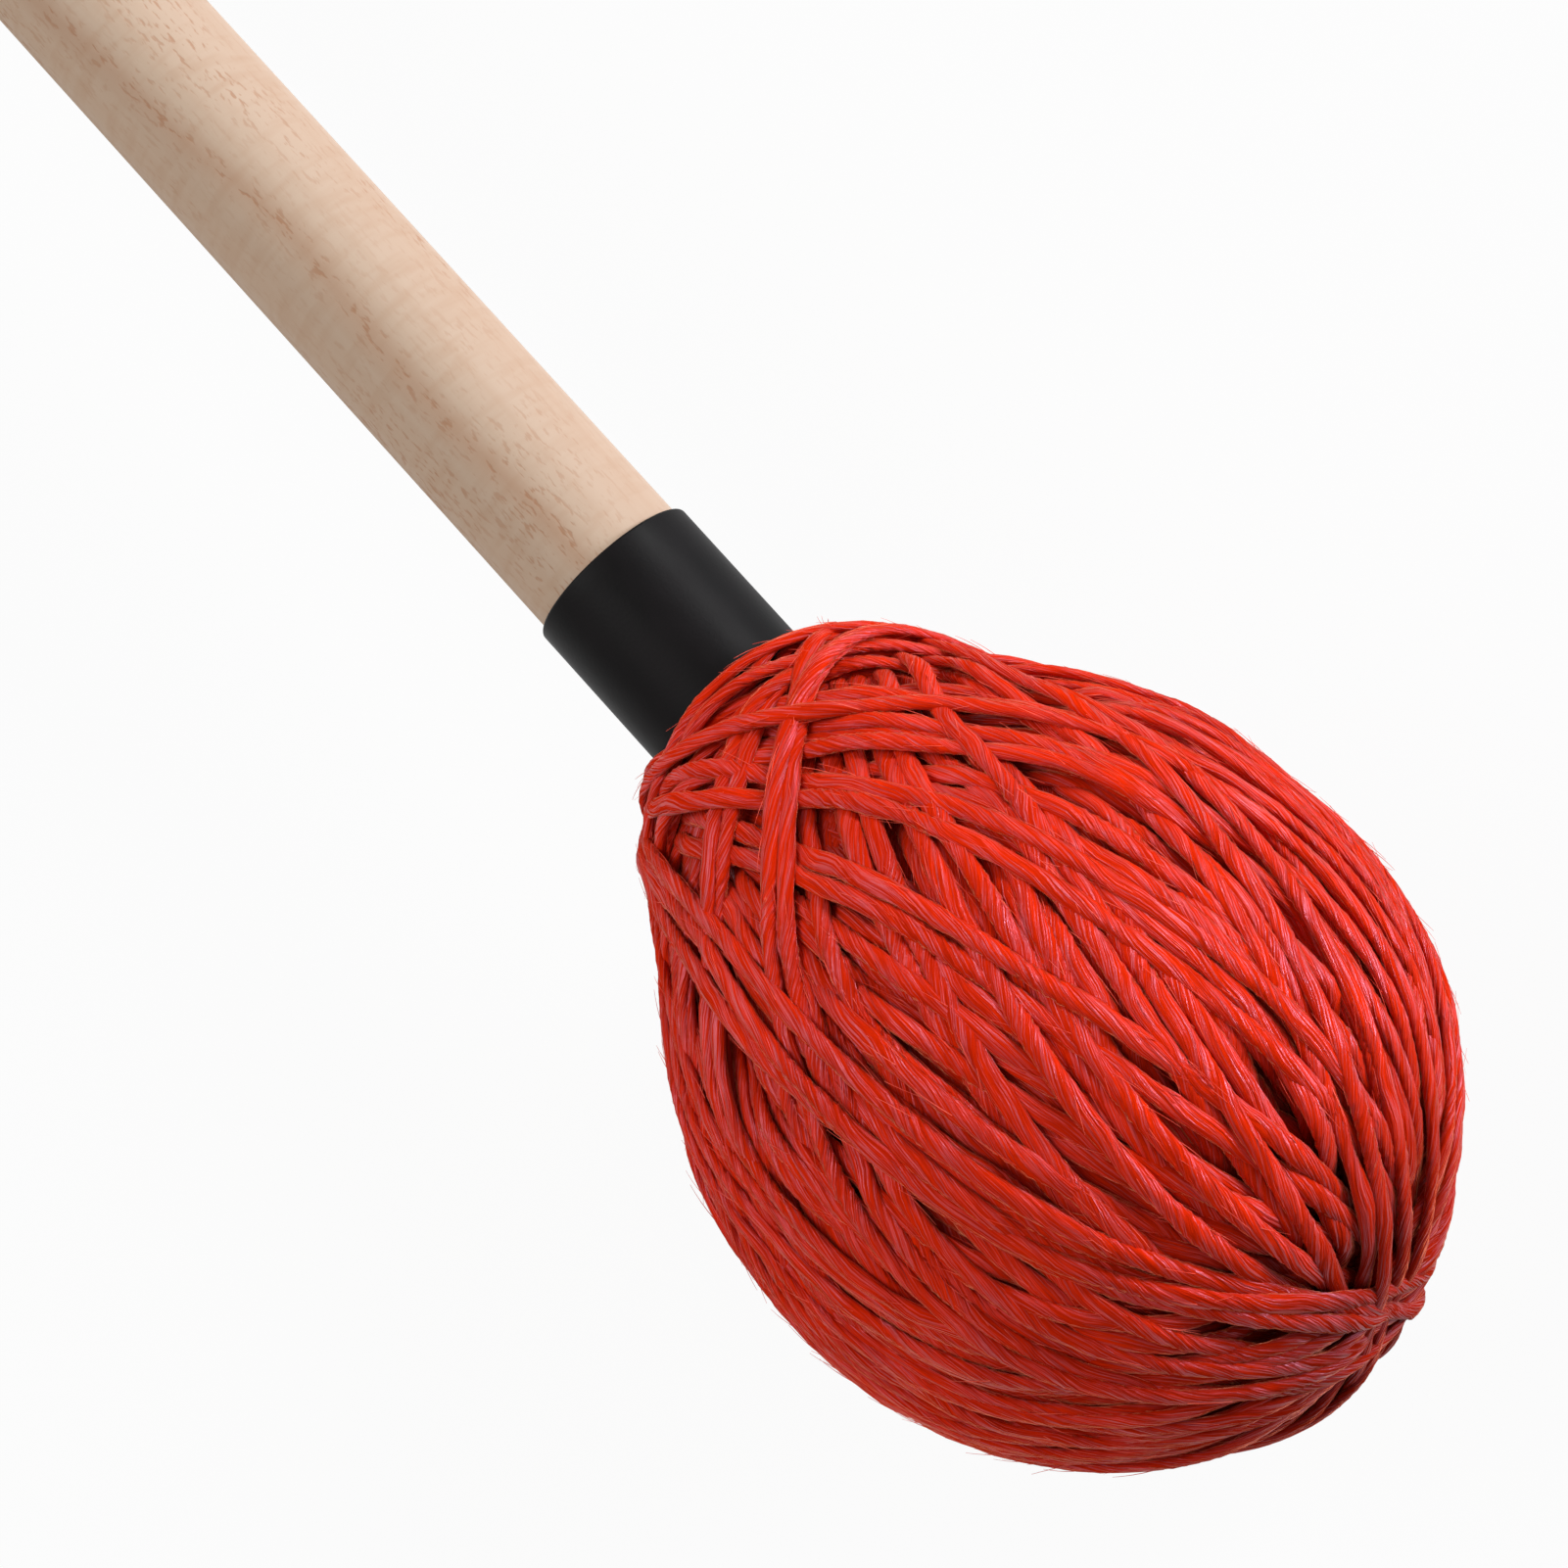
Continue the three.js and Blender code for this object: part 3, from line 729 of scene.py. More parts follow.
def turn_directions(scene, outline, at, random):
    """Directions from the head's centre at the given counts of turns."""
    yarn = scene.mallet_yarn
    head = scene.mallet_head
    count = yarn.turns + SPARE_TURNS
    headings, neck_rings = turn_plan(yarn, random, count)
    crown_rings = random.uniform(yarn.crown_ring_least, yarn.crown_ring_most, count)
    neck = between(np.arcsin(neck_rings / outline.reach(NECK_ANGLE)), at)
    crown = between(np.arcsin(crown_rings / head.crown_reach), np.maximum(at - 0.5, 0))
    passes = np.round(at)
    into = eased((at - passes) / JUMP_SPAN_SHARE / 2 + 0.5)
    before = headings[np.clip(passes.astype(int) - 1, 0, count - 1)]
    after = headings[np.clip(passes.astype(int), 0, count - 1)]
    heading = before * (1 - into) + after * into
    spread = (math.pi + neck - crown) / 2
    round_angle = 2 * math.pi * at
    directions = np.stack([np.sin(spread) * np.cos(round_angle), -np.cos(spread),
                           np.sin(spread) * np.sin(round_angle)], axis=1)
    directions = turned(directions, (0, 0, 1), (neck + crown - math.pi) / 2)
    directions = turned(directions, (0, 1, 0), heading)
    lean = head.crown_lean * eased((polar_angle(directions) - LEAN_START) / (math.pi - LEAN_START))
    return turned(directions, crown_pole(head)[1], lean)


def even_directions(scene, outline, random):
    """Directions from the head's centre at even steps along the whole yarn."""
    yarn = scene.mallet_yarn
    fine = np.linspace(0, yarn.turns, yarn.turns * FINE_STEPS + 1)
    directions = turn_directions(scene, outline, fine, random)
    steps = np.linalg.norm(np.diff(outline.surface(directions)[0], axis=0), axis=1)
    lengths = np.concatenate([[0], np.cumsum(steps)])
    even = np.interp(np.arange(int(lengths[-1] / yarn.step)) * yarn.step, lengths, fine)
    return unit(np.stack([np.interp(even, fine, column) for column in directions.T], axis=1))


# Laying the turns

# The depth field: the size of its cells, and how far it reaches from the head's centre
CELL = 0.00032
FIELD_REACH = 0.032

# The yarn is laid in stretches. Their ends are not shifted sideways, and the start of each one is
# only written down once the stretch that runs into it is laid
STRETCH = 0.07
STRETCH_END = 0.003

# Across the yarn, in radii: where it is held against the turns above, and where it leaves its mark
PROBES = np.linspace(-0.8, 0.8, 7)
PRINTS = np.linspace(-1.0, 1.0, 9)

# Side steps: how far in radii, how many, what they cost, and over how many steps they are smoothed
SIDE_REACH = 2.6
SIDE_STEPS = 17
SIDE_COST = 0.4
SIDE_STIFFNESS = 4.0
SIDE_SMOOTHING = 6

# How far the yarn wanders up and down, and over how many steps it and its depth are smoothed
WANDER = 0.00009
WANDER_SMOOTHING = 8
DEPTH_SMOOTHING = 2

# How far the turns are kept off the collar, in radii
COLLAR_CLEARANCE = 0.95

# How far from the crown or the neck the yarn gives more, lies deeper, gets painted shade and is pinched
CROWN_SOFT_REACH = 0.0045
NECK_SOFT_REACH = 0.009
DEEP_REACH = 0.012
SHADE_REACH = 0.0112
PINCH_REACH = 0.0042
# Painted shade at the crown, and the navel's share of painted shade, added to the depth that darkens the
# yarn
SHADE = 0.0034
NAVEL_SHADE_SHARE = 0.6


class DepthField:
    """How deep the underside of the turns laid so far lies, kept in small cells of the outline."""

    def __init__(self, outline):
        self.outline = outline
        self.size = int(2 * FIELD_REACH / CELL) + 1
        self.depths = np.zeros(self.size ** 3, np.float32)

    def keys(self, points):
        index = np.clip(((points + FIELD_REACH) / CELL).astype(int), 0, self.size - 1)
        return (index[..., 0] * self.size + index[..., 1]) * self.size + index[..., 2]

    def on_outline(self, points):
        directions = unit(points)
        return directions * self.outline.reach(polar_angle(directions))[..., None]

    def need(self, points, above):
        """How deep a path lies under what is there; the points and heights are rows across it."""
        return (self.depths[self.keys(self.on_outline(points))] + above).max(axis=1)

    def write(self, points, depths):
        np.maximum.at(self.depths, self.keys(self.on_outline(points)).ravel(), depths.ravel())


def smoothed(values, width):
    kernel = np.exp(-0.5 * (np.arange(-3 * width, 3 * width + 1) / width) ** 2)
    padded = np.pad(values, 3 * width, mode="edge")
    return np.convolve(padded, kernel / kernel.sum(), mode="valid")


def widened(values, width):
    """The greatest of each value and those within a width of it."""
    padded = np.pad(values, width, mode="edge")
    return np.max([padded[shift:shift + len(values)] for shift in range(2 * width + 1)], axis=0)


def falloff(distance, reach):
    """1 close by, and down to nothing beyond the reach."""
    return np.exp(-(distance / reach) ** 2)


def sideways_path(costs):
    """The cheapest smooth run of side steps through a table of costs, one row for each place."""
    steps = np.arange(costs.shape[1])
    change = (steps[:, None] - steps[None, :]) ** 2 * SIDE_STIFFNESS
    total = costs[0].copy()
    choices = np.zeros(costs.shape, int)
    for row in range(1, len(costs)):
        options = total[:, None] + change
        choices[row] = options.argmin(axis=0)
        total = options[choices[row], steps] + costs[row]
    path = np.zeros(len(costs), int)
    path[-1] = total.argmin()
    for row in range(len(costs) - 1, 0, -1):
        path[row - 1] = choices[row][path[row]]
    return path


def lanes(spots, sides, offsets):
    """Rows of points across the yarn, at the given distances from its middle line."""
    return spots[:, None, :] + sides[:, None, :] * offsets[None, :, None]


class Winder:
    """Lays the yarn in stretches, the last and uppermost first, each under those that cover it."""

    def __init__(self, scene, outline):
        self.yarn, self.head = scene.mallet_yarn, scene.mallet_head
        self.radius = self.yarn.diameter / 2
        self.soft = 1 - self.yarn.softness
        self.pole = crown_pole(self.head)[0]
        self.shifts = np.linspace(-SIDE_REACH * self.radius, SIDE_REACH * self.radius, SIDE_STEPS)
        self.end_steps = int(STRETCH_END / self.yarn.step)
        self.field = DepthField(outline)
        self.pending = None

    def from_crown(self, directions):
        return np.arccos(np.clip(directions @ self.pole, -1, 1)) * self.head.crown_reach

    def firmness(self, directions):
        """How firm the yarn stays where it is crossed, less so near the crown and the neck."""
        to_neck = polar_angle(directions) * self.head.neck_reach
        return (1 - self.yarn.crown_softness * falloff(self.from_crown(directions), CROWN_SOFT_REACH)
                - self.yarn.neck_softness * falloff(to_neck, NECK_SOFT_REACH))

    def side_shift(self, here, sides, above):
        """How far each place of a stretch is shifted sideways, into the free space beside it."""
        needs = [self.field.need(lanes(here, sides, shift + PROBES * self.radius), above)
                 for shift in self.shifts]
        costs = (self.shifts / (SIDE_REACH * self.radius)) ** 2 * SIDE_COST
        path = sideways_path(np.stack(needs, axis=1) / self.radius + costs)
        shift = smoothed(self.shifts[path], SIDE_SMOOTHING)
        place = np.arange(len(here))
        if self.pending is not None:
            shift = shift * np.clip((len(here) - 1 - place) / self.end_steps, 0, 1)
        return shift * np.clip(place / self.end_steps, 0, 1)

    def lay(self, here, out, directions, wander):
        """Lay the next stretch. Its middle line, depths and girths come back."""
        yarn, head, radius = self.yarn, self.head, self.radius
        firm = self.firmness(directions)
        above = firm[:, None] * (radius * self.soft * np.sqrt(1 - PROBES ** 2))
        sides = unit(np.cross(out, unit(np.gradient(here, axis=0))))
        shift = self.side_shift(here, sides, above)
        spots = self.field.on_outline(here + sides * shift[:, None])
        to_crown = self.from_crown(unit(spots))
        need = self.field.need(lanes(spots, sides, PROBES * radius), above)
        limit = yarn.packed_share + (1 - yarn.packed_share) * falloff(to_crown, DEEP_REACH)
        need = smoothed(widened(need, DEPTH_SMOOTHING), DEPTH_SMOOTHING)
        need = np.minimum(need, yarn.deepest * limit)
        under = firm[:, None] * (radius * self.soft * np.sqrt(np.maximum(1 - PRINTS ** 2, 0)))
        self.write_down(lanes(spots, sides, PRINTS * radius), need[:, None] + under)
        navel = head.navel_depth * falloff(to_crown, head.navel_radius)
        depth = need + radius * (yarn.flat_height - self.soft * firm) + wander
        placed = spots - out * (depth + navel)[:, None]
        # Painted shade: the depth that darkens the yarn grows at the navel and near the crown
        depth = depth + navel * NAVEL_SHADE_SHARE + SHADE * falloff(to_crown, SHADE_REACH)
        return placed, depth, 1 - yarn.crown_pinch * falloff(to_crown, PINCH_REACH)

    def write_down(self, places, depths):
        """Mark a stretch in the field, all but its start, which waits for the next stretch."""
        if self.pending is not None:
            self.field.write(*self.pending)
        self.field.write(places[self.end_steps:], depths[self.end_steps:])
        self.pending = places[:self.end_steps], depths[:self.end_steps]


def lay_turns(scene):
    """The yarn's middle line, depths, girths and the outline's normals."""
    yarn, handle = scene.mallet_yarn, scene.mallet_handle
    outline = Outline(scene)
    random = np.random.default_rng(yarn.seed)
    directions = even_directions(scene, outline, random)
    surface, normals = outline.surface(directions)
    count = len(directions)
    wander = smoothed(random.normal(0, 1, count), WANDER_SMOOTHING)
    wander *= WANDER / wander.std()
    winder = Winder(scene, outline)
    placed, depths, girths = np.zeros((count, 3)), np.zeros(count), np.ones(count)
    ends = list(range(count, 0, -int(STRETCH / yarn.step))) + [0]
    for end, start in zip(ends, ends[1:]):
        rows = slice(start, end)
        placed[rows], depths[rows], girths[rows] = winder.lay(
            surface[rows], normals[rows], directions[rows], wander[rows])
    for axis in range(3):
        placed[:, axis] = smoothed(placed[:, axis], 1)
    clearance = winder.radius * COLLAR_CLEARANCE
    keep_off(placed, handle.diameter / 2 + handle.collar_wall + clearance)
    return placed, depths, girths, normals


def keep_off(points, least):
    """Move points of the neck out to the least radius, where they would cut into the collar."""
    out = np.hypot(points[:, 0], points[:, 2])
    near = (points[:, 1] < COLLAR_CLEARED) & (out < least)
    for axis in (0, 2):
        points[near, axis] *= least / out[near]


# Geometry Nodes

# How the twist and the thickness wander: by how much, and how often per metre
TWIST_WANDER = 7.0
TWIST_WANDER_SCALE = 90.0
LUMP_GAIN = 4.0
LUMP_SCALE = 330.0

# A loose fibre: its end's lift and how much it thins, as shares, then how it strays and varies in size
FIBRE_END_LIFT = 0.6
FIBRE_TAPER = 0.6
FIBRE_STRAY = ((0.0, -0.05, -0.4), (0.0, 0.02, 0.4))
FIBRE_SIZES = (0.5, 1.3)


class Tree(NodeBuilder):
    """A Geometry Nodes tree being built. Its inputs are given as names and kinds of socket."""

    def __init__(self, name, inputs):
        self.group = bpy.data.node_groups.new(name, "GeometryNodeTree")
        super().__init__(self.group)
        face = self.group.interface
        face.new_socket("Geometry", in_out="INPUT", socket_type="NodeSocketGeometry")
        self.names = {}
        for label, kind in inputs.items():
            socket = face.new_socket(label, in_out="INPUT", socket_type="NodeSocket" + kind)
            self.names[label] = socket.identifier
        face.new_socket("Geometry", in_out="OUTPUT", socket_type="NodeSocketGeometry")
        self.input = self.nodes.new("NodeGroupInput").outputs
        self.end = self.nodes.new("NodeGroupOutput")

    def vector(self, operation, first, second):
        return self.node("ShaderNodeVectorMath", {0: first, 1: second}, operation=operation)

    def scaled(self, vector, size):
        return self.node("ShaderNodeVectorMath", {0: vector, "Scale": size}, operation="SCALE")

    def noise(self, place):
        """Noise along a line."""
        return self.node("ShaderNodeTexNoise", {"W": place, "Scale": 1.0}, noise_dimensions="1D")

    def circle(self, resolution, radius):
        return self.node("GeometryNodeCurvePrimitiveCircle", {
            "Resolution": resolution, "Radius": radius}, mode="RADIUS")

    def compare(self, operation, first, second):
        return self.node("FunctionNodeCompare", {0: first, 1: second},
                         data_type="FLOAT", operation=operation)

    def moved(self, geometry, position):
        return self.node("GeometryNodeSetPosition", {"Geometry": geometry, "Position": position})

    def attribute(self, name, kind="FLOAT"):
        return self.node("GeometryNodeInputNamedAttribute", {"Name": name}, data_type=kind)

    def store(self, geometry, name, vector):
        return self.node("GeometryNodeStoreNamedAttribute", {
            "Geometry": geometry, "Name": name, "Value": vector},
            data_type="FLOAT_VECTOR", domain="POINT")

    def result(self, geometry):
        real = self.node("GeometryNodeRealizeInstances", {0: geometry})
        done = self.node("GeometryNodeSetMaterial", {
            "Geometry": real, "Material": self.input["Material"]})
        self.feed(self.end.inputs[0], done)
        return self

    def apply(self, piece, yarn, values):
        """Run the tree on a piece, and keep the result as a plain mesh. An input that has no value
        here takes the yarn's size of the same name."""
        modifier = piece.modifiers.new(self.group.name, "NODES")
        modifier.node_group = self.group
        for label, identifier in self.names.items():
            size = getattr(yarn, label.lower().replace(" ", "_"), None)
            modifier[identifier] = values.get(label, size)
        bpy.context.view_layer.update()
        shown = piece.evaluated_get(bpy.context.evaluated_depsgraph_get())
        mesh = bpy.data.meshes.new_from_object(shown)
        mesh.name = piece.name
        piece.modifiers.clear()
        rough = piece.data
        piece.data = mesh
        bpy.data.meshes.remove(rough)


def plied_yarn_tree():
    """Sweep a plied section along an edge path, and press it flat against the head. The path's
    vertices carry "along", "girth" and "outward"."""
    tree = Tree("Plied yarn along a path", {
        "Radius": "Float", "Flat width": "Float", "Flat height": "Float", "Lumps": "Float",
        "Plies": "Int", "Ply depth": "Float", "Twist pitch": "Float", "Sides": "Int",
        "Material": "Material"})
    given = tree.input
    path = tree.node("GeometryNodeMeshToCurve", {0: given["Geometry"]})
    along = tree.attribute("along")
    twist = tree.times(tree.math("DIVIDE", along, given["Twist pitch"]), 2 * math.pi)
    uneven = tree.noise(tree.times(along, TWIST_WANDER_SCALE))
    twist = tree.plus(twist, tree.times(uneven, TWIST_WANDER))
    place = tree.node("GeometryNodeInputPosition")
    kept = tree.store(path, "centre", place)
    kept = tree.store(kept, "tangent", tree.node("GeometryNodeInputTangent"))
    twisted = tree.node("GeometryNodeSetCurveTilt", {"Curve": kept, "Tilt": twist})
    groove = tree.times(tree.minus(1.0, tree.ply_wave(place, given["Plies"])), 0.5)
    size = tree.times(tree.minus(1.0, tree.times(groove, given["Ply depth"])), given["Radius"])
    marked = tree.store(tree.circle(given["Sides"], 1.0), "side", place)
    section = tree.moved(marked, tree.scaled(place, size))
    swept = tree.node("GeometryNodeCurveToMesh", {
        "Curve": twisted, "Profile Curve": section, "Fill Caps": True})
    centre = tree.attribute("centre", "FLOAT_VECTOR")
    outward = tree.attribute("outward", "FLOAT_VECTOR")
    offset = tree.vector("SUBTRACT", place, centre)
    height = tree.vector("DOT_PRODUCT", offset, outward).outputs["Value"]
    thickness = tree.noise(tree.times(along, LUMP_SCALE))
    lump = tree.times(tree.minus(thickness, 0.5), LUMP_GAIN)
    lump = tree.plus(1.0, tree.times(lump, given["Lumps"]))
    lump = tree.times(lump, tree.attribute("girth"))
    wide = tree.scaled(offset, tree.times(lump, given["Flat width"]))
    press = tree.times(height, tree.minus(given["Flat height"], given["Flat width"]))
    pressed = tree.vector("ADD", wide, tree.scaled(outward, tree.times(press, lump)))
    shaped = tree.moved(swept, tree.vector("ADD", centre, pressed))
    smooth = tree.node("GeometryNodeSetShadeSmooth", {"Geometry": shaped})
    return tree.result(tree.node("GeometryNodeRemoveAttribute", {"Geometry": smooth, "Name": "centre"}))


def loose_fibre_tree():
    """Scatter short thin fibres over the upper turns, each lying nearly along its yarn."""
    tree = Tree("Loose fibres on yarn", {
        "Fibre density": "Float", "Fibre deepest": "Float", "Fibre lowest": "Float",
        "Fibre length": "Float", "Fibre lift": "Float", "Radius": "Float", "Seed": "Int",
        "Material": "Material"})
    given = tree.input
    upper = tree.compare("LESS_THAN", tree.attribute("depth"), given["Fibre deepest"])
    above = tree.split(tree.node("GeometryNodeInputPosition"))[2]
    free = tree.compare("GREATER_THAN", above, given["Fibre lowest"])
    shown = tree.node("FunctionNodeBooleanMath", {0: upper, 1: free}, operation="AND")
    spots = tree.node("GeometryNodeDistributePointsOnFaces", {
        "Mesh": given["Geometry"], "Selection": shown, "Density": given["Fibre density"],
        "Seed": given["Seed"]}).outputs
    length, lift = given["Fibre length"], given["Fibre lift"]
    middle = tree.node("ShaderNodeCombineXYZ", {0: tree.times(length, 0.5), 2: lift})
    end = tree.node("ShaderNodeCombineXYZ", {0: length, 2: tree.times(lift, FIBRE_END_LIFT)})
    line = tree.node("GeometryNodeCurveQuadraticBezier", {
        "Resolution": 4, "Start": (0.0, 0.0, 0.0), "Middle": middle, "End": end})
    share = tree.node("GeometryNodeSplineParameter").outputs["Factor"]
    hair = tree.node("GeometryNodeCurveToMesh", {
        "Curve": line, "Profile Curve": tree.circle(3, given["Radius"]),
        "Scale": tree.minus(1.0, tree.times(share, FIBRE_TAPER)), "Fill Caps": True})
    lying = tree.node("FunctionNodeAlignRotationToVector", {
        "Rotation": spots["Rotation"], "Vector": tree.attribute("tangent", "FLOAT_VECTOR")},
        axis="X", pivot_axis="Z")
    least, most = FIBRE_STRAY
    stray = tree.node("FunctionNodeRandomValue", {0: least, 1: most, "Seed": 5},
                      data_type="FLOAT_VECTOR")
    stray = tree.node("FunctionNodeEulerToRotation", {0: stray})
    strayed = tree.node("FunctionNodeRotateRotation", {"Rotation": lying, "Rotate By": stray},
                        rotation_space="LOCAL")
    least, most = FIBRE_SIZES
    size = tree.node("FunctionNodeRandomValue", {2: least, 3: most, "Seed": 9},
                     data_type="FLOAT").outputs[1]
    return tree.result(tree.node("GeometryNodeInstanceOnPoints", {
        "Points": spots["Points"], "Instance": hair, "Rotation": strayed, "Scale": size}))


# Yarn pieces

# The turns are cut into meshes of at most this size, each in the deepest place of its last tenth
MOST_TRIANGLES = 190000
CUT_FROM_SHARE = 0.9

# The stitches: how deep they are shaded, how bright and thick they are, and how they wobble and end
STITCH_DEPTH = 0.001
STITCH_BRIGHTNESS = 0.85
STITCH_RADIUS_SHARE = 0.42
STITCH_WOBBLE = 0.12
STITCH_END_DIP = 0.0016
STITCH_END_STEPS = 5

# The packed yarn: its grid, its depth under the outline from the neck to the crown, and the half
# section of the space inside it, from the neck to the crown
PACKED_RINGS, PACKED_SIDES = 90, 160
PACKED_DEPTHS = (0.0020, 0.0026)
PACKED_INSIDE = (
    (0.0070, -0.0140), (0.0098, -0.0110), (0.0113, -0.0070), (0.0118, -0.0030), (0.0116, 0.0030),
    (0.0104, 0.0080), (0.0076, 0.0115), (0.0040, 0.0131), (0.0, 0.0135),
)
PACKED_INSIDE_START = -0.0152


def path_mesh(scene, name, points, outward, marks):
    """A path for the plied yarn; marks are the numbers that its vertices carry."""
    mesh = bpy.data.meshes.new(name)
    world = head_to_world(scene, points)
    mesh.vertices.add(len(world))
    mesh.vertices.foreach_set("co", world.ravel())
    mesh.edges.add(len(world) - 1)
    ends = np.stack([np.arange(len(world) - 1), np.arange(1, len(world))], axis=1)
    mesh.edges.foreach_set("vertices", ends.ravel())
    outward = outward @ np.array(mallet_frame(scene)[1:])
    for label, values in {**marks, "outward": outward}.items():
        kind, field = ("FLOAT", "value") if values.ndim == 1 else ("FLOAT_VECTOR", "vector")
        made = mesh.attributes.new(label, kind, "POINT")
        made.data.foreach_set(field, values.astype(np.float32).ravel())
    mesh.update()
    return mesh


def add_yarn(scene, name, points, outward, marks, tree, material, radius):
    """Run plied yarn along a path, as one piece."""
    piece = add_object(name, path_mesh(scene, name, points, outward, marks))
    tree.apply(piece, scene.mallet_yarn, {"Radius": radius, "Material": material})
    return piece


class MALLET_OT_yarn_turns(bpy.types.Operator):
    """Wind the outer turns of plied yarn round the head, one unbroken length in several meshes"""
    bl_idname = "mallet.yarn_turns"
    bl_label = "Yarn turns"

    def execute(self, context):
        scene = context.scene
        yarn = scene.mallet_yarn
        points, depths, girths, normals = lay_turns(scene)
        alongs = np.arange(len(points)) * yarn.step
        material = yarn_material(scene, "Plied red yarn")
        tree = plied_yarn_tree()
        most = int(MOST_TRIANGLES / (2 * yarn.sides))
        cuts = [0]
        while len(points) - cuts[-1] > most:
            window = slice(cuts[-1] + int(most * CUT_FROM_SHARE), cuts[-1] + most)
            cuts.append(window.start + int(depths[window].argmax()))
        cuts.append(len(points) - 1)
        for number, (start, end) in enumerate(zip(cuts, cuts[1:]), 1):
            rows = slice(start, end + 1)
            marks = {"along": alongs[rows], "depth": depths[rows], "girth": girths[rows]}
            piece = add_yarn(scene, f"yarn_turns_{number}", points[rows], normals[rows], marks, tree,
                             material, yarn.diameter / 2)
            dress(piece, "yarn", "outer_winding")
        return {"FINISHED"}


class MALLET_OT_loose_fibres(bpy.types.Operator):
    """Let short fibres stand off the outer turns, as worn yarn does"""
    bl_idname = "mallet.loose_fibres"
    bl_label = "Loose fibres"

    def execute(self, context):
        scene = context.scene
        yarn = scene.mallet_yarn
        material = fibre_material(scene)
        tree = loose_fibre_tree()
        turns = [piece for piece in scene.objects if piece.name.startswith("yarn_turns_")]
        for number, wound in enumerate(turns, 1):
            piece = add_object(f"loose_fibres_{number}", wound.data.copy())
            tree.apply(piece, yarn, {
                "Radius": yarn.fibre_thickness / 2, "Seed": yarn.seed + number, "Material": material})
            if not piece.data.polygons:
                bpy.data.objects.remove(piece)
                continue
            set_only_material(piece.data, material)
            piece.data.polygons.foreach_set("material_index", [0] * len(piece.data.polygons))
            dress(piece, "yarn", "outer_winding")
        return {"FINISHED"}


class MALLET_OT_packed_yarn(bpy.types.Operator):
    """Fill the head under the outer turns with packed yarn"""
    bl_idname = "mallet.packed_yarn"
    bl_label = "Packed yarn"

    def execute(self, context):
        scene = context.scene
        handle = scene.mallet_handle
        hole = handle.diameter / 2 + handle.collar_wall + GAP
        angles = np.linspace(PACKED_EDGE_ANGLE, math.pi, PACKED_RINGS)
        directions = np.stack([np.sin(angles), -np.cos(angles), np.zeros(PACKED_RINGS)], axis=1)
        surface, normals = Outline(scene).surface(directions)
        depths = np.linspace(*PACKED_DEPTHS, PACKED_RINGS)[:, None]
        outside = [(max(across, hole), along) for across, along, _ in surface - normals * depths]
        outside[-1] = (0.0, outside[-1][1])
        section = [*reversed(PACKED_INSIDE), (hole, PACKED_INSIDE_START), *outside]
        material = clouded_material(
            "Packed yarn", scene.mallet_colours.yarn_dark_and_groove_shade, PACKED_STRANDS,
            roughness=0.9, relief=0.0006, strength=0.9)
        piece = add_lathed(scene, "packed_yarn", section, PACKED_SIDES, material, head_to_world,
                           sharp_degrees=60)
        dress(piece, "packed_yarn", "inner_winding")
        return {"FINISHED"}


def stitched_loop(outline, pole_sign, ring, lift, waves, wave_height, sweep, start, count):
    """A stitched thread round a pole, its ends drawn down into the yarn."""
    share = np.linspace(0, 1, count)
    turn = start + 2 * math.pi * sweep * share
    wobble = ring * (1 + STITCH_WOBBLE * np.sin(3 * turn + start))
    base = outline.reach(math.pi if pole_sign > 0 else NECK_ANGLE)
    directions = unit(np.stack([
        wobble * np.cos(turn), np.full(count, pole_sign * base), wobble * np.sin(turn)], axis=1))
    surface, normals = outline.surface(directions)
    height = lift + wave_height * np.sin(waves * math.pi * share) ** 2
    ends = np.minimum(share, 1 - share) * count
    height = height - STITCH_END_DIP * np.clip(1 - ends / STITCH_END_STEPS, 0, 1) ** 2
    return surface + normals * height[:, None], normals


class MALLET_OT_stitches(bpy.types.Operator):
    """Sew the turns together at the neck and draw them in at the crown"""
    bl_idname = "mallet.stitches"
    bl_label = "Stitches"

    def execute(self, context):
        scene = context.scene
        yarn, head = scene.mallet_yarn, scene.mallet_head
        outline = Outline(scene)
        material = yarn_material(scene, "Stitch yarn", STITCH_BRIGHTNESS)
        tree = plied_yarn_tree()
        neck = stitched_loop(outline, pole_sign=-1, ring=0.0060, lift=-0.0016, waves=9,
                             wave_height=0.0007, sweep=0.94, start=0.4, count=160)
        crown = stitched_loop(outline, pole_sign=1, ring=0.0016, lift=-0.0034, waves=5,
                              wave_height=0.0010, sweep=0.9, start=1.1, count=60)
        lean = np.full(len(crown[0]), head.crown_lean)
        crown = [turned(vectors, crown_pole(head)[1], lean) for vectors in crown]
        for end, (points, outward) in {"neck": neck, "crown": crown}.items():
            count = len(points)
            marks = {"along": np.arange(count) * yarn.step, "depth": np.full(count, STITCH_DEPTH),
                     "girth": np.ones(count)}
            piece = add_yarn(scene, end + "_stitches", points, outward, marks, tree, material,
                             yarn.diameter * STITCH_RADIUS_SHARE)
            dress(piece, "stitch_yarn", end + "_stitching")
        return {"FINISHED"}


class MALLET_OT_inner_parts(bpy.types.Operator):
    """Give the core and the latex under the yarn their finishes"""
    bl_idname = "mallet.inner_parts"
    bl_label = "Inner parts"

    def execute(self, context):
        tones = context.scene.mallet_colours
        for node, name, tone, roughness, scale in (
                ("core", "Moulded core rubber", tones.rubber, 0.75, 900),
                ("latex_underwrap", "Wrapped latex", tones.latex, 0.6, 600)):
            material = clouded_material(
                name, tone, (scale,) * 3, roughness, relief=0.00006, strength=0.5)
            set_only_material(frame["nodes"][node].data, material)
        return {"FINISHED"}


# Stage

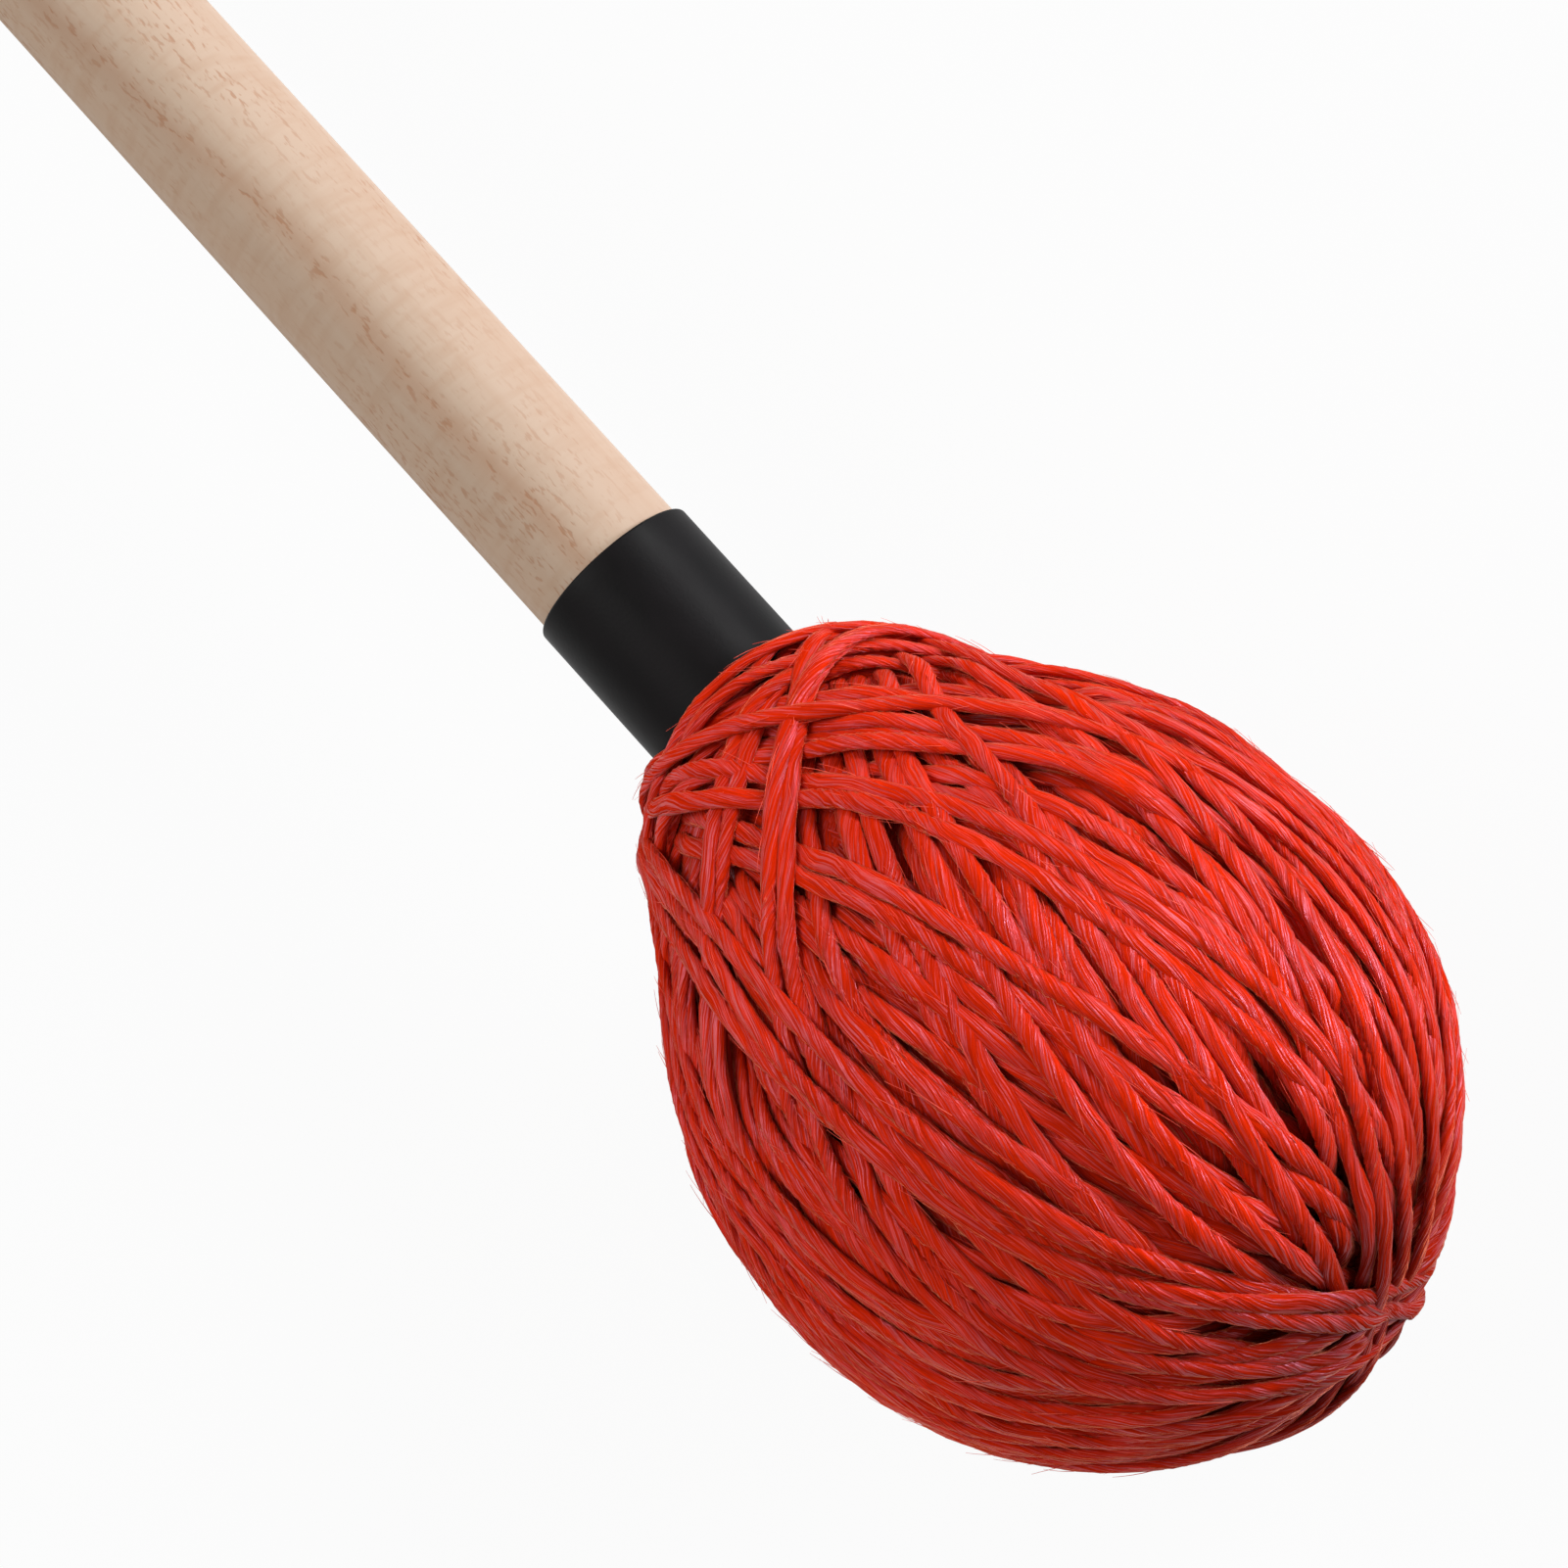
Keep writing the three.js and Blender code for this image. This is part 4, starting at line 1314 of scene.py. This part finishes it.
# The camera's tilt and roll, its distance and the width that it sees there, and its aim along
# and across the axis
VIEW_TILT = math.radians(8.5)
VIEW_ROLL = math.radians(47.86)
VIEW_DISTANCE = 0.200
VIEW_WIDTH = 0.0804
AIM_ALONG = -0.02056
AIM_ACROSS = -0.00077
SENSOR_WIDTH = 36.0
CLIP_START = 0.01

# Each lamp's place to the right, to the top and back from the aim, its size, power and tone
LAMPS = {
    "key lamp": ((0.50, 0.90, 0.50), 0.42, 8.8, (1.0, 1.0, 1.0)),
    "fill lamp": ((-0.88, 0.2, 0.64), 0.8, 7.2, (1.0, 1.0, 1.0)),
    "rim lamp": ((0.96, 0.36, 0.2), 0.3, 9.5, (0.82, 0.86, 1.0)),
}
WORLD_LIGHT = 0.31
FLOOR_REACH = 3.0
FLOOR_TONE = (0.55, 0.55, 0.55, 1.0)
FLOOR_GLOW = 0.94


def add_camera(scene):
    """The camera, aimed at the head; its aim and its right, top and back directions come back."""
    place = mallet_frame(scene)
    aim = Vector(place.origin + place.along * AIM_ALONG + place.across * AIM_ACROSS)
    back = Vector((math.sin(VIEW_TILT), 0.0, math.cos(VIEW_TILT)))
    flat = Vector((math.cos(VIEW_TILT), 0.0, -math.sin(VIEW_TILT)))
    side = back.cross(flat)
    right = flat * math.cos(VIEW_ROLL) + side * math.sin(VIEW_ROLL)
    top = side * math.cos(VIEW_ROLL) - flat * math.sin(VIEW_ROLL)
    data = bpy.data.cameras.new("camera")
    data.sensor_width = SENSOR_WIDTH
    data.lens = SENSOR_WIDTH * VIEW_DISTANCE / VIEW_WIDTH
    data.clip_start = CLIP_START
    scene.camera = add_object("camera", data)
    rotation = Matrix((right, top, back)).transposed().to_4x4()
    scene.camera.matrix_world = Matrix.Translation(aim + back * VIEW_DISTANCE) @ rotation
    return aim, right, top, back


def add_lamp(name, place, target, size, power, tone):
    data = bpy.data.lights.new(name, "AREA")
    data.shape = "DISK"
    data.size = size
    data.energy = power
    data.color = tone
    lamp = add_object(name, data)
    lamp.location = place
    lamp.rotation_euler = (target - place).to_track_quat("-Z", "Y").to_euler()


def add_world(scene):
    """Even light from all round, which the camera sees as white."""
    world = bpy.data.worlds.new("studio")
    world.use_nodes = True
    scene.world = world
    build = NodeBuilder(world.node_tree)
    light = build.nodes["Background"]
    build.feed(light.inputs["Color"], WHITE)
    build.feed(light.inputs["Strength"], WORLD_LIGHT)
    seen = build.node("ShaderNodeBackground", {"Color": WHITE, "Strength": 1.0})
    build.seen_as("World Output", light, seen, "Is Transmission Ray")


class MALLET_OT_stage(bpy.types.Operator):
    """Set the pale floor, the soft studio lamps and the camera"""
    bl_idname = "mallet.stage"
    bl_label = "Stage"

    def execute(self, context):
        scene = context.scene
        aim, right, top, back = add_camera(scene)
        corners = [(x * FLOOR_REACH, y * FLOOR_REACH, 0)
                   for x, y in ((-1, -1), (1, -1), (1, 1), (-1, 1))]
        mesh = bpy.data.meshes.new("floor")
        mesh.from_pydata(corners, [], [(0, 1, 2, 3)])
        floor = add_object("floor", mesh, floor_material())
        for name, ((to_right, to_top, to_back), size, power, tone) in LAMPS.items():
            place = aim + (right * to_right + top * to_top + back * to_back)
            add_lamp(name, place, aim, size, power, tone)
        add_world(scene)
        scene.view_settings.view_transform = "Standard"
        return {"FINISHED"}


class MALLET_PT_panel(bpy.types.Panel):
    """Sizes, colours and steps of the mallet"""
    bl_idname = "MALLET_PT_panel"
    bl_label = "Marimba mallet"
    bl_space_type = "VIEW_3D"
    bl_region_type = "UI"
    bl_category = "Mallet"

    def draw(self, context):
        for operator in OPERATORS:
            self.layout.operator(operator.bl_idname)
        for name, group in GROUPS.items():
            box = self.layout.box()
            box.label(text=group.__doc__)
            for key in group.__annotations__:
                box.prop(getattr(context.scene, name), key)


OPERATORS = (
    MALLET_OT_stage,
    MALLET_OT_handle,
    MALLET_OT_collar,
    MALLET_OT_inner_parts,
    MALLET_OT_packed_yarn,
    MALLET_OT_yarn_turns,
    MALLET_OT_loose_fibres,
    MALLET_OT_stitches,
)


CLASSES = (*GROUPS.values(), *OPERATORS, MALLET_PT_panel)


def register():
    for kind in CLASSES:
        bpy.utils.register_class(kind)
    for name, group in GROUPS.items():
        setattr(bpy.types.Scene, name, bpy.props.PointerProperty(type=group))


def unregister():
    for name in GROUPS:
        delattr(bpy.types.Scene, name)
    for kind in reversed(CLASSES):
        bpy.utils.unregister_class(kind)


def main():
    register()
    for operator in OPERATORS:
        section, name = operator.bl_idname.split(".")
        getattr(getattr(bpy.ops, section), name)()


if __name__ == "__main__":
    main()
